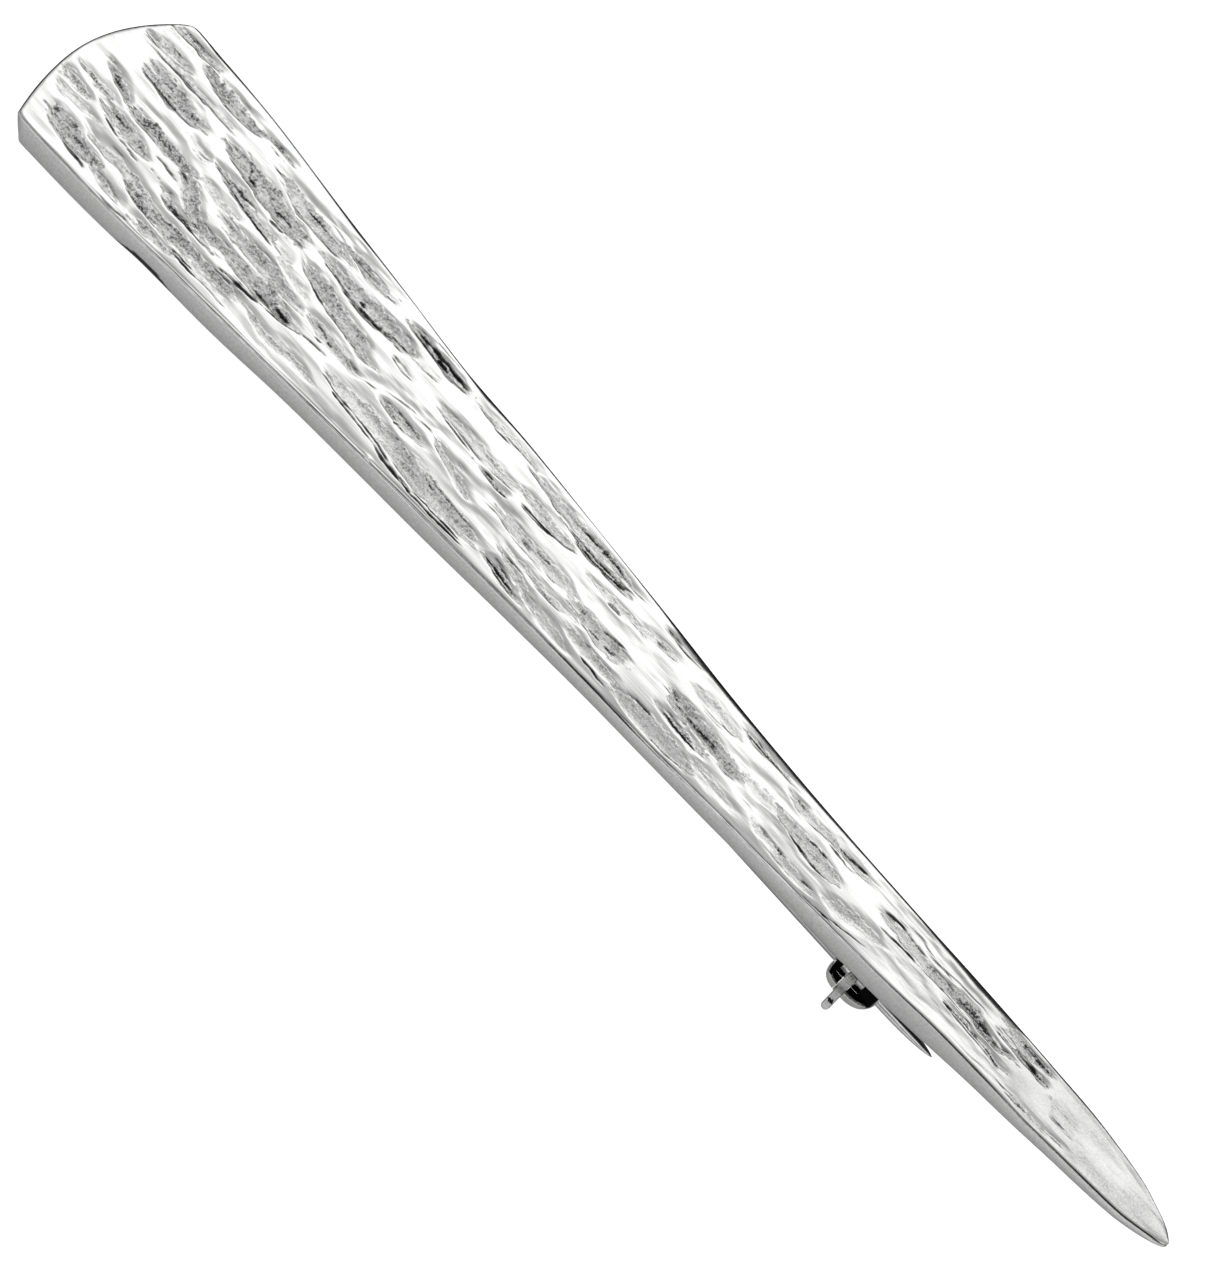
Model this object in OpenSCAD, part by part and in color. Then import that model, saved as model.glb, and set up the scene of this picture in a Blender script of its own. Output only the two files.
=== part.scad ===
// Kilt pin: a cast tapered bar with bark relief on its front, and a hinged stem and a roll-over catch behind.
// Millimetres. +X runs from the broad end to the point, +Z is the face, and the pin lies face up on its fittings.

/* [Bar] */
// Length of the bar from the broad end to the point
bar_len = 100; // [85:1:115]
// Width of the bar at its broad end
bar_w = 14.5; // [12:0.05:16]
// Thickness of the bar at its middle line
bar_t = 2.25; // [1.9:0.05:3]
// Depth of the relief, as a share of the depths in the chart
relief_k = 1; // [0.3:0.05:1.2]
// How far the broad end slopes in towards the back
end_slope = 1.2; // [0:0.1:2]

/* [Stem] */
// Radius of the stem
stem_r = 0.44; // [0.35:0.01:0.46]
// Height of the stem's axis behind the back of the bar
stem_drop = 3.42; // [3.2:0.02:4]
// Distance of the stem's axis from the middle plane, towards the low side
stem_side = 0.3; // [0:0.05:0.5]
// Where the stem ends, as a share of the bar's length
stem_end = 0.818; // [0.8:0.002:0.85]
// Length of the sharpened end
stem_taper = 4.3; // [3:0.1:6]

/* [Hinge] */
// Where the hinge rivet sits, as a share of the bar's length
hinge_at = 0.09; // [0.08:0.005:0.12]
// Radius of the rivet
rivet_r = 0.45; // [0.35:0.01:0.5]
// Width of the gap between the two ears
ear_gap = 1.7; // [1.5:0.05:2]
// Thickness of an ear
ear_t = 0.8; // [0.6:0.05:1]

/* [Catch] */
// Where the catch barrel's middle sits, as a share of the bar's length
catch_at = 0.7515; // [0.74:0.0005:0.76]
// Largest outer radius of the barrel
barrel_r = 1.71; // [1.65:0.01:1.8]
// Half length of the barrel
barrel_half = 1.93; // [1.9:0.01:2.1]
// Outer radius of the rotor
rotor_r = 0.76; // [0.72:0.01:0.78]
// Width of the lever
lever_w = 0.58; // [0.5:0.02:0.62]
// Reach of the lever from the stem's axis to its bend
lever_bend = 2.1; // [2:0.05:2.2]
// Length of the lever past its bend
lever_tip = 1.36; // [1:0.02:1.5]

/* [Hidden] */
$fn = 72;

silver = [0.86, 0.86, 0.85];
steel = [0.72, 0.73, 0.75];

drawn_len = 100;
drawn_w = 14.5;
drawn_t = 2.25;
len_k = bar_len / drawn_len;
wide_k = bar_w / drawn_w;

// The barrel's slot leaves two feet beside it, and the ears end level with them.
stem_slot = stem_r + 0.09;
foot_drop = sqrt(barrel_r * barrel_r - stem_slot * stem_slot);
back_z = stem_drop + foot_drop;
axis_z = foot_drop;
hinge_x = hinge_at * bar_len;
catch_x = catch_at * bar_len;
solder = 0.3;

// Outline of the bar. Columns: place along it and the y of its low and high edges, then the height of the
// front at its low and high edges and of the back, all above the flat of the back.
X = 0;
LOW = 1;
HIGH = 2;
LOW_H = 3;
HIGH_H = 4;
BACK_H = 5;
OUTLINE = [
    [0, -6.85, 6.8, 2.1, 1.85, 0],
    [0.4, -7.02, 7.15, 2.15, 1.9, 0],
    [1, -7.08, 7.32, 2.15, 1.9, 0],
    [2.5, -7.08, 7.4, 2.15, 1.95, 0],
    [6.5, -6.97, 7.28, 2.1, 2, 0],
    [10, -6.74, 7.06, 2, 2, 0],
    [12.5, -6.44, 6.86, 1.84, 2, 0],
    [18.5, -6.14, 6.17, 2.05, 2, 0],
    [25, -5.5, 5.52, 1.8, 2, 0],
    [31, -5.12, 4.88, 1.85, 2, 0],
    [37, -4.78, 4.67, 1.83, 2, 0],
    [44, -4.26, 4.18, 1.62, 1.95, 0],
    [50.5, -3.84, 3.73, 1.45, 1.9, 0],
    [56, -3.62, 3.23, 1.37, 1.9, 0],
    [61, -3.43, 2.87, 1.7, 1.95, 0],
    [68, -3.09, 2.55, 1.63, 2, 0],
    [75, -2.92, 2.38, 2.05, 2.05, 0],
    [80, -2.55, 2.3, 2.15, 2.1, 0],
    [84, -2.37, 2.22, 2.15, 2.1, 0.38],
    [88, -2.28, 2.11, 2.15, 2.1, 0.76],
    [91, -2.05, 2, 2.12, 2.1, 0.9],
    [94, -1.84, 1.68, 2.12, 2.1, 1.02],
    [96.4, -1.62, 1.32, 2.1, 2.08, 1.18],
    [97.8, -1.33, 0.9, 2.1, 2.05, 1.27],
    [98.9, -1.02, 0.52, 2.05, 2, 1.38],
    [99.5, -0.86, 0.2, 2, 1.95, 1.58],
    [99.85, -0.7, -0.1, 1.95, 1.93, 1.72],
    [100, -0.5, -0.3, 1.92, 1.92, 1.78]
];

// Hollows of the relief, as they lie on the face. Columns: where each begins and ends, its half width and depth.
PITS = [
    [2.6, 6.35, 7.4, 6.15, 0.35, 0.35],
    [6.2, 5.75, 11.7, 5.3, 0.6, 0.5],
    [11.2, 5.85, 14.7, 5.6, 0.25, 0.25],
    [1.9, 4.2, 6.4, 4.4, 0.65, 0.4],
    [5.4, 4.05, 10.4, 3.85, 0.35, 0.3],
    [3.2, 2.6, 9.4, 2.35, 0.75, 0.55],
    [8.7, 1.2, 11.3, 0.95, 0.5, 0.25],
    [10.3, 3.2, 18.9, 1.95, 0.95, 0.55],
    [10.8, 1.5, 17.6, 0.55, 0.45, 0.5],
    [1.5, 0.55, 5, -0.25, 0.42, 0.35],
    [4.7, -0.55, 11.6, -0.75, 0.65, 0.5],
    [10.3, -1.2, 13.6, -2.5, 0.6, 0.45],
    [3.2, -1.9, 8.3, -2.6, 0.6, 0.5],
    [0.6, -1, 3.4, -1.2, 0.2, 0.2],
    [0.4, -2.3, 4.3, -3.2, 0.8, 0.3],
    [9.8, -3.1, 14.5, -3.3, 0.25, 0.4],
    [11, -0.25, 14.8, -0.5, 0.35, 0.2],
    [14.3, -0.95, 21.8, -1.5, 0.7, 0.45],
    [12.6, -2.8, 22.4, -2.6, 0.65, 0.5],
    [18.6, -2.85, 21.7, -2.55, 0.3, 0.7],
    [1.7, -5.2, 6.3, -5.4, 0.7, 0.5],
    [3.8, -4.05, 9.6, -4.35, 0.38, 0.3],
    [7.5, -4.65, 18.8, -4.6, 0.65, 0.45],
    [5.7, -5.6, 9.4, -5.85, 0.3, 0.3],
    [9.6, -5.9, 13.7, -5.3, 0.3, 0.3],
    [13, -5.3, 18.4, -5.2, 0.2, 0.35],
    [16, 4.6, 21.6, 3.4, 0.6, 0.35],
    [20, 4.4, 25.2, 4.4, 0.55, 0.35],
    [20.2, 2.5, 28.7, 2.8, 0.75, 0.6],
    [26.5, 2.4, 30.6, 2.5, 0.15, 0.35],
    [18.7, 1.5, 27.3, -0.3, 0.68, 0.55],
    [16.5, 1, 18.6, 0.4, 0.4, 0.25],
    [18.2, -0.05, 21.1, -0.65, 0.35, 0.2],
    [21.6, -1.2, 26.3, -1.55, 0.5, 0.35],
    [19, -4.4, 25.2, -4.5, 0.5, 0.25],
    [26.7, 4.05, 32.2, 3.95, 0.4, 0.7],
    [27, 1.3, 29.2, 1.2, 0.28, 0.25],
    [28.2, -1.5, 33.1, -1.5, 0.45, 0.45],
    [25.1, -2.9, 32.4, -3.3, 0.65, 0.45],
    [29.5, -3.3, 39.4, -3.45, 0.95, 0.6],
    [31.2, 1.5, 39, 1.4, 0.55, 0.35],
    [33, 3.9, 39, 3.75, 0.32, 0.3],
    [38.3, 3.4, 48.5, 3.25, 0.55, 0.45],
    [42.2, 2.55, 48.4, 2.6, 0.25, 0.5],
    [36, 0.65, 38.5, 0.45, 0.2, 0.4],
    [38, 1.6, 44.3, 1.75, 0.5, 0.45],
    [32.8, -0.5, 37.3, -1.5, 0.42, 0.4],
    [38.5, -0.5, 46.6, -0.7, 0.6, 0.4],
    [40.4, -1.85, 46.1, -1.95, 0.3, 0.3],
    [40.7, -2.7, 44.7, -3.2, 0.42, 0.4],
    [40.2, -3.45, 43.6, -3.7, 0.18, 0.35],
    [44.6, -3.3, 48.2, -3.6, 0.55, 0.2],
    [45.2, 1.15, 50, 1.4, 0.25, 0.25],
    [44.8, -0.9, 51.2, -1.05, 0.65, 0.5],
    [48.8, 1.4, 52.8, 1.8, 0.35, 0.3],
    [46.4, -2.6, 51.5, -2.8, 0.5, 0.4],
    [51.6, -2.85, 58.5, -2.8, 0.75, 0.4],
    [53.9, -0.15, 61.4, -0.75, 0.7, 0.6],
    [54.7, 1.6, 59, 1.4, 0.52, 0.3],
    [50.9, 2.95, 54.9, 2.75, 0.2, 0.35],
    [58.4, 2.1, 63.9, 2, 0.2, 0.35],
    [58.2, -2.35, 62.6, -2.4, 0.45, 0.25],
    [60.9, -0.35, 64.2, -0.1, 0.35, 0.25],
    [63.7, 1.35, 71.3, 1.3, 0.45, 0.35],
    [63.9, -0.2, 69.5, -0.3, 0.65, 0.5],
    [63.5, -2, 69.3, -2.3, 0.38, 0.3],
    [68.7, -2.3, 75, -1.35, 0.72, 0.45],
    [72.7, 0.25, 79.4, 0.1, 0.6, 0.4],
    [77.4, 0.35, 84.9, 0.2, 0.42, 0.5],
    [79.3, -0.7, 85.2, -0.8, 0.22, 0.4],
    [75.9, -1.1, 78.3, -1.2, 0.3, 0.15],
    [82.6, 1.45, 88.1, 1.35, 0.35, 0.35],
    [83.6, 1.05, 87.8, 0.8, 0.2, 0.4],
    [85.4, -1.85, 91.4, -1.6, 0.25, 0.2],
    [88.6, 0.25, 91.1, 0.15, 0.4, 0.15]
];
BEGIN_X = 0;
BEGIN_Y = 1;
END_X = 2;
END_Y = 3;
HALF_W = 4;
DEPTH = 5;

// Grid of the face: stations along the bar and strips across it
stations = 136;
strips = 32;
end_run = 9;
slope_run = 3;
end_mid = -1.7;
end_curve_low = 0.025;
end_curve_high = 0.0425;
edge_bevel = 0.14;

// Smooth reading of a column of the outline between its rows
function row_below(x, i = 0) =
    i >= len(OUTLINE) - 2 || x < OUTLINE[i + 1][X] ? i : row_below(x, i + 1);
function slope(i, col) =
    let (a = max(i - 1, 0), b = min(i + 1, len(OUTLINE) - 1))
    (OUTLINE[b][col] - OUTLINE[a][col]) / (OUTLINE[b][X] - OUTLINE[a][X]);
function outline(x, col) =
    let (
        i = row_below(x),
        run = OUTLINE[i + 1][X] - OUTLINE[i][X],
        u = (x - OUTLINE[i][X]) / run,
        v = 1 - u
    )
    OUTLINE[i][col] * v * v * (1 + 2 * u) + OUTLINE[i + 1][col] * u * u * (3 - 2 * u)
    + slope(i, col) * run * u * v * v - slope(i + 1, col) * run * u * u * v;

function clamp01(a) = min(max(a, 0), 1);
function ease(a) = let (c = clamp01(a)) c * c * (3 - 2 * c);

// How deep one hollow is at a point: steep on its low side, gentle on its high side
function hollow(p, x, y) =
    let (
        dx = p[END_X] - p[BEGIN_X],
        dy = p[END_Y] - p[BEGIN_Y],
        run = norm([dx, dy]),
        u = 2 * ((x - p[BEGIN_X]) * dx + (y - p[BEGIN_Y]) * dy) / (run * run) - 1,
        w = ((y - p[BEGIN_Y]) * dx - (x - p[BEGIN_X]) * dy) / run / p[HALF_W],
        rim = u * u + w * w,
        floor_edge = min(max(0.3 - 0.3 * w, 0.05), 0.6)
    )
    rim >= 1 ? 0 : p[DEPTH] * (1 - ease((rim - floor_edge) / (1 - floor_edge)));

function deepest(pits, x, y) = max([0, for (p = pits) hollow(p, x, y)]);

// Height of the face above the back, at a place x along, y across and v of the way to an edge
function face_height(x, y, v, pits) =
    let (
        edge = outline(x, v < 0 ? LOW_H : HIGH_H),
        crown = drawn_t - (drawn_t - edge) * pow(abs(v), 4),
        inside = clamp01((1 - abs(v)) * 9)
    )
    (crown - edge_bevel * ease((abs(v) - 0.93) / 0.07)) * bar_t / drawn_t
    - relief_k * inside * deepest(pits, x, y);

// Stations crowd at both ends, and strips crowd at both edges.
function station_x(i) =
    let (head = 7, tail = 9)
    i < head ? 5 * pow(i / head, 1.4)
    : i > stations - tail ? drawn_len - 4 * pow((stations - i) / tail, 1.6)
    : 5 + (drawn_len - 9) * (i - head) / (stations - head - tail);
function strip_v(j) =
    let (v = 2 * j / strips - 1) sign(v) * (1 - pow(1 - abs(v), 1.12));
function end_arc(y) =
    (y > end_mid ? end_curve_high : end_curve_low) * pow(y - end_mid, 2);
function fade(x, run) = pow(clamp01(1 - x / run), 2);

function face_ring(i) =
    let (
        x = station_x(i),
        low = outline(x, LOW),
        high = outline(x, HIGH),
        pits = [for (p = PITS) if (x > p[BEGIN_X] - 4 && x < p[END_X] + 1) p]
    )
    [for (j = [0 : strips])
        let (
            v = strip_v(j),
            y = (low + high) / 2 + v * (high - low) / 2,
            px = x + end_arc(y) * fade(x, end_run)
        )
        [px * len_k, y * wide_k, face_height(min(px, drawn_len), y, v, pits)]
    ];

function back_ring(i) =
    let (x = station_x(i), z = outline(x, BACK_H), face = [outline(x, LOW), outline(x, HIGH)])
    [for (j = [0 : strips])
        let (
            y = (face[0] + face[1]) / 2 + strip_v(j) * (face[1] - face[0]) / 2,
            px = x + end_arc(y) * fade(x, end_run) + end_slope * fade(x, slope_run)
        )
        [px * len_k, y * wide_k, z]
    ];

// The bar as one closed mesh: the face is a grid, and the back is crossed in single spans.
module bar() {
    face = [for (i = [0 : stations]) each face_ring(i)];
    back_first = back_ring(0);
    back_sides = [for (i = [1 : stations - 1]) let (r = back_ring(i)) each [r[0], r[strips]]];
    back_last = back_ring(stations);
    n = strips + 1;
    first = len(face);
    sides = first + n;
    last = sides + len(back_sides);
    function f(i, j) = i * n + j;
    function low(i) = i == 0 ? first : i == stations ? last : sides + 2 * (i - 1);
    function high(i) = i == 0 ? first + strips : i == stations ? last + strips : low(i) + 1;
    polyhedron(
        points = concat(face, back_first, back_sides, back_last),
        faces = concat(
            [for (i = [0 : stations - 1], j = [0 : strips - 1])
                each [[f(i, j), f(i, j + 1), f(i + 1, j + 1)], [f(i, j), f(i + 1, j + 1), f(i + 1, j)]]],
            [for (i = [0 : stations - 1])
                each [[f(i, 0), f(i + 1, 0), low(i + 1)], [f(i, 0), low(i + 1), low(i)]]],
            [for (i = [0 : stations - 1])
                each [[f(i + 1, strips), f(i, strips), high(i)],
                    [f(i + 1, strips), high(i), high(i + 1)]]],
            [for (j = [0 : strips - 1])
                each [[f(0, j + 1), f(0, j), first + j], [f(0, j + 1), first + j, first + j + 1]]],
            [for (j = [0 : strips - 1])
                each [[f(stations, j), f(stations, j + 1), last + j + 1],
                    [f(stations, j), last + j + 1, last + j]]],
            [for (i = [1 : stations - 2])
                each [[low(i), low(i + 1), high(i + 1)], [low(i), high(i + 1), high(i)]]],
            [[low(0), low(1), high(1)]],
            [for (j = [0 : strips - 1]) [first + j, high(1), first + j + 1]],
            [[low(stations - 1), last, high(stations - 1)]],
            [for (j = [0 : strips - 1]) [high(stations - 1), last + j, last + j + 1]]
        )
    );
}

// Puts its children with their Z along the stem's axis, at a place along the bar
module on_stem_axis(x) {
    translate([x, -stem_side, -stem_drop])
        rotate([0, 90, 0])
            children();
}

// Hinge plate soldered to the back, with the two ears that carry the rivet
module hinge_ears() {
    translate([hinge_x - 3, -stem_side - 2.3, -0.3])
        cube([6, 4.6, 0.3 + solder]);
    for (side = [-1, 1])
        translate([hinge_x, -stem_side + side * (ear_gap + ear_t) / 2, -stem_drop])
            difference() {
                union() {
                    rotate([90, 0, 0])
                        cylinder(r = foot_drop, h = ear_t, center = true);
                    translate([-foot_drop, -ear_t / 2, 0])
                        cube([2 * foot_drop, ear_t, stem_drop - 0.1]);
                }
                rotate([90, 0, 0])
                    cylinder(r = rivet_r + 0.02, h = ear_t + 1, center = true);
            }
}

// Half outline of the egg-shaped barrel, fuller towards the broad end
function barrel_reach(x) =
    let (p = x < 0 ? 3.4 : 2.4)
    barrel_r * pow(max(1 - pow(abs(x) / barrel_half, p), 0), 1 / p);
function barrel_stop(i) = -barrel_half * cos(180 * i / 32);

chamber_r = rotor_r + 0.03;
chamber_half = 1.33;
tube_r = chamber_r + 0.27;
lever_x = -0.39;
lever_lean = 3.6;
slot_x = -0.35;
mouth_from = 102;
mouth_to = 158;

// The space between the inner tube and the shell, out to a given gap inside the barrel's outline
module shell_space(reach, half) {
    stops = [for (i = [0 : 12]) half * (2 * i / 12 - 1)];
    polygon(concat(
        [[0.78, -half], [tube_r, -min(half, 1.5)], [tube_r, min(half, 1.5)], [0.78, half]],
        [for (i = [12 : -1 : 0]) [max(barrel_reach(stops[i]) - 0.2, 0.82) + reach, stops[i]]]
    ));
}

// Catch barrel on its post: open below for the stem, along its middle for the lever, and towards the low side
module catch_barrel() {
    on_stem_axis(catch_x)
        difference() {
            rotate_extrude()
                polygon(concat([[0, -barrel_half]],
                    [for (i = [1 : 31]) [barrel_reach(barrel_stop(i)), barrel_stop(i)]],
                    [[0, barrel_half]]));
            cylinder(r = chamber_r, h = 2 * chamber_half, center = true);
            cylinder(r = stem_slot + 0.02, h = 6, center = true);
            translate([0, -stem_slot, -3])
                cube([4, 2 * stem_slot, 6]);
            translate([-0.45, -3, slot_x - lever_w / 2 - 0.08])
                cube([4, 6, lever_w + 0.16]);
            rotate([0, 0, -mouth_to])
                rotate_extrude(angle = mouth_to - 45)
                    shell_space(0, 1.62);
            rotate([0, 0, -mouth_to - 1])
                rotate_extrude(angle = mouth_to - mouth_from + 1)
                    translate([0.02, 0])
                        shell_space(2, 2.1);
            rotate([0, 0, 3 - mouth_to])
                rotate_extrude(angle = mouth_to - 65)
                    translate([chamber_r - 0.2, slot_x - 0.95])
                        square([0.5, 1.9]);
            rotate([0, 0, -55])
                translate([-1.8, -2, -2.2])
                    cube([2.83, 1.5, 0.83]);
        }
    translate([catch_x - 1.3, -stem_side - 0.5, chamber_r + 0.08 - stem_drop])
        cube([2.6, 1, stem_drop - chamber_r - 0.2]);
    translate([catch_x - 2.5, -stem_side - 1.7, -0.25])
        cube([5, 3.4, 0.25 + solder]);
}

module body() {
    color(silver) {
        bar();
        hinge_ears();
        catch_barrel();
    }
}

// Headed rivet through the ears and the stem's eye
module hinge_rivet() {
    reach = ear_gap / 2 + ear_t + 0.02;
    color(steel)
        translate([hinge_x, -stem_side, -stem_drop])
            rotate([90, 0, 0]) {
                cylinder(r = rivet_r, h = 2 * reach + 0.2, center = true);
                for (side = [-1, 1])
                    translate([0, 0, side * (reach + 0.15)])
                        cylinder(r = 0.78, h = 0.3, center = true);
            }
}

// Sharpened stem with its eye
module pin_stem() {
    point_x = stem_end * bar_len;
    color(steel)
        difference() {
            union() {
                on_stem_axis(0)
                    rotate_extrude()
                        polygon(concat(
                            [[0, hinge_x + 0.6], [stem_r, hinge_x + 0.6]],
                            [for (i = [0 : 20])
                                let (u = 1 - pow(1 - i / 20, 1.4))
                                [stem_r * pow(1 - u * u, 0.65), point_x - stem_taper * (1 - u)]]
                        ));
                translate([hinge_x, -stem_side, -stem_drop])
                    rotate([90, 0, 0])
                        cylinder(r = 1.05, h = ear_gap - 0.2, center = true);
            }
            translate([hinge_x, -stem_side, -stem_drop])
                rotate([90, 0, 0])
                    cylinder(r = rivet_r + 0.05, h = 3, center = true);
        }
}

// Slotted rotor with its lever, drawn unlocked: its slot faces down and its lever points to the low side
module catch_rotor() {
    slot = stem_r + 0.05;
    color(steel)
        on_stem_axis(catch_x) {
            difference() {
                cylinder(r = rotor_r, h = 2.6, center = true);
                cylinder(r = stem_r + 0.08, h = 3, center = true);
                translate([0, -slot, -2])
                    cube([2, 2 * slot, 4]);
                for (side = [-1, 1])
                    translate([0, 0, lever_x + side * (lever_w / 2 + 0.04)])
                        difference() {
                            cylinder(r = 1, h = 0.06, center = true);
                            cylinder(r = rotor_r - 0.08, h = 1, center = true);
                        }
            }
            rotate([0, 0, -95])
                translate([0.62, 0, lever_x])
                    rotate([0, -lever_lean, 0])
                        lever();
        }
}

// Lever along +X from its root: a strip with one bend, a round end and a small dimple
module lever() {
    bend = lever_bend - 0.62;
    translate([0, -0.15, -lever_w / 2])
        cube([bend, 0.3, lever_w]);
    translate([bend, 0, 0]) {
        cylinder(r = 0.15, h = lever_w, center = true);
        rotate([0, 0, 25])
            difference() {
                union() {
                    translate([0, -0.15, -lever_w / 2])
                        cube([lever_tip - lever_w / 2, 0.3, lever_w]);
                    translate([lever_tip - lever_w / 2, 0, 0])
                        rotate([90, 0, 0])
                            cylinder(r = lever_w / 2, h = 0.3, center = true);
                }
                translate([0.76, -0.2, 0])
                    rotate([-90, 0, 0])
                        cylinder(r1 = 0.14, r2 = 0.02, h = 0.17);
            }
    }
}

// The whole pin, centred over the surface that it lies on
module placed() {
    translate([-bar_len / 2, -0.16 * wide_k, back_z])
        children();
}

placed() body();
placed() hinge_rivet();
placed() pin_stem();
placed() catch_rotor();
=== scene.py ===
import math

import bmesh
import bpy
import numpy as np
from mathutils import Matrix, Vector


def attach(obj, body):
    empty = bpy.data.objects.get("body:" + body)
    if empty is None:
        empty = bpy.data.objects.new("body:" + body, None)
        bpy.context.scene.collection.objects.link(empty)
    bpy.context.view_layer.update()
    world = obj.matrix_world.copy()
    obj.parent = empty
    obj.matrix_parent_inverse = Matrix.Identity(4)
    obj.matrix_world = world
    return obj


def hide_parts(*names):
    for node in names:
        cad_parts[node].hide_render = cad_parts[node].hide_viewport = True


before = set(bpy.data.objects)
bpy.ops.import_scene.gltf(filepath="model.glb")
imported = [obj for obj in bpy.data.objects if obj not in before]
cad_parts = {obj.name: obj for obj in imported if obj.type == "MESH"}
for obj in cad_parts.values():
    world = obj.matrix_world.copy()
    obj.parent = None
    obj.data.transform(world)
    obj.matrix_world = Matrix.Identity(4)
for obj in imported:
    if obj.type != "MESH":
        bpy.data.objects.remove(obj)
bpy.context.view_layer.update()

# Millimetres on the bar: x from its broad end to its point, y from its low to its high side, and z
# from the flat of its back. The shared frame's origin is on the floor, under the pin's middle.
MM = 0.001
LENGTH = 100.0
SHIFT_Y = -0.16
STEM_Y = -0.3
STEM_DROP = 3.42
STEM_SLOT = 0.53
CATCH_X = 75.15
BARREL_R = 1.71
BARREL_HALF = 1.93
AXIS_Z = math.sqrt(BARREL_R**2 - STEM_SLOT**2)
BACK_Z = STEM_DROP + AXIS_Z


def place(x, y, z):
    """Millimetres on the bar as metres in the shared frame."""
    return np.stack([x - LENGTH / 2, y + SHIFT_Y, z + BACK_Z], -1) * MM


def link(name, data):
    obj = bpy.data.objects.new(name, data)
    bpy.context.scene.collection.objects.link(obj)
    return obj


# The camera: 55 degrees above the floor on the low side, rolled so that the bar falls to the right
FROM_ZENITH = math.radians(35.0)
FALL = math.atan2(0.738727, 0.674004)
IMAGE_HEIGHT = 1280
PX_PER_MM = 16.205
SENSOR = 36.0
DISTANCE = 1.0
AIM = (49.03, -1.151, 2.15)
toward = Vector((0, -math.sin(FROM_ZENITH), math.cos(FROM_ZENITH)))
across = Vector((0, -math.cos(FROM_ZENITH), -math.sin(FROM_ZENITH)))
along = Vector((1, 0, 0))
right = along * math.cos(FALL) - across * math.sin(FALL)
up = -(along * math.sin(FALL) + across * math.cos(FALL))
cam_data = bpy.data.cameras.new("camera")
cam_data.sensor_fit = "VERTICAL"
cam_data.sensor_height = SENSOR
cam_data.lens = SENSOR * DISTANCE / (IMAGE_HEIGHT / PX_PER_MM * MM)
cam_data.clip_start = 0.1
cam_data.clip_end = 20.0
cam = link("camera", cam_data)
axes = Matrix((right, up, toward)).transposed().to_4x4()
target = Vector(place(*np.array(AIM)))
cam.matrix_world = Matrix.Translation(target + toward * DISTANCE) @ axes
bpy.context.scene.camera = cam

# Outline of the bar: place along it, y of its low and its high edge, height of the face at each of
# these edges, and height of the back
LOW, HIGH, LOW_TOP, HIGH_TOP, BACK = 1, 2, 3, 4, 5
OUTLINE = np.array([
    (0, -6.85, 6.8, 2.1, 1.85, 0),
    (0.4, -7.02, 7.15, 2.15, 1.9, 0),
    (1, -7.08, 7.32, 2.15, 1.9, 0),
    (2.5, -7.08, 7.4, 2.15, 1.95, 0),
    (6.5, -6.97, 7.28, 2.1, 2, 0),
    (10, -6.74, 7.06, 2, 2, 0),
    (12.5, -6.44, 6.86, 1.84, 2, 0),
    (18.5, -6.14, 6.17, 2.05, 2, 0),
    (25, -5.5, 5.52, 1.8, 2, 0),
    (31, -5.12, 4.88, 1.85, 2, 0),
    (37, -4.78, 4.67, 1.83, 2, 0),
    (44, -4.26, 4.18, 1.62, 1.95, 0),
    (50.5, -3.84, 3.73, 1.45, 1.9, 0),
    (56, -3.62, 3.23, 1.37, 1.9, 0),
    (61, -3.43, 2.87, 1.7, 1.95, 0),
    (68, -3.09, 2.55, 1.63, 2, 0),
    (75, -2.92, 2.38, 2.05, 2.05, 0),
    (80, -2.55, 2.3, 2.15, 2.1, 0),
    (84, -2.37, 2.22, 2.15, 2.1, 0.38),
    (88, -2.28, 2.11, 2.15, 2.1, 0.76),
    (91, -2.05, 2, 2.12, 2.1, 0.9),
    (94, -1.84, 1.68, 2.12, 2.1, 1.02),
    (96.4, -1.62, 1.32, 2.1, 2.08, 1.18),
    (97.8, -1.33, 0.9, 2.1, 2.05, 1.27),
    (98.9, -1.02, 0.52, 2.05, 2, 1.38),
    (99.5, -0.86, 0.2, 2, 1.95, 1.58),
    (99.85, -0.7, -0.1, 1.95, 1.93, 1.72),
    (100, -0.5, -0.3, 1.92, 1.92, 1.78),
])

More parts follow.
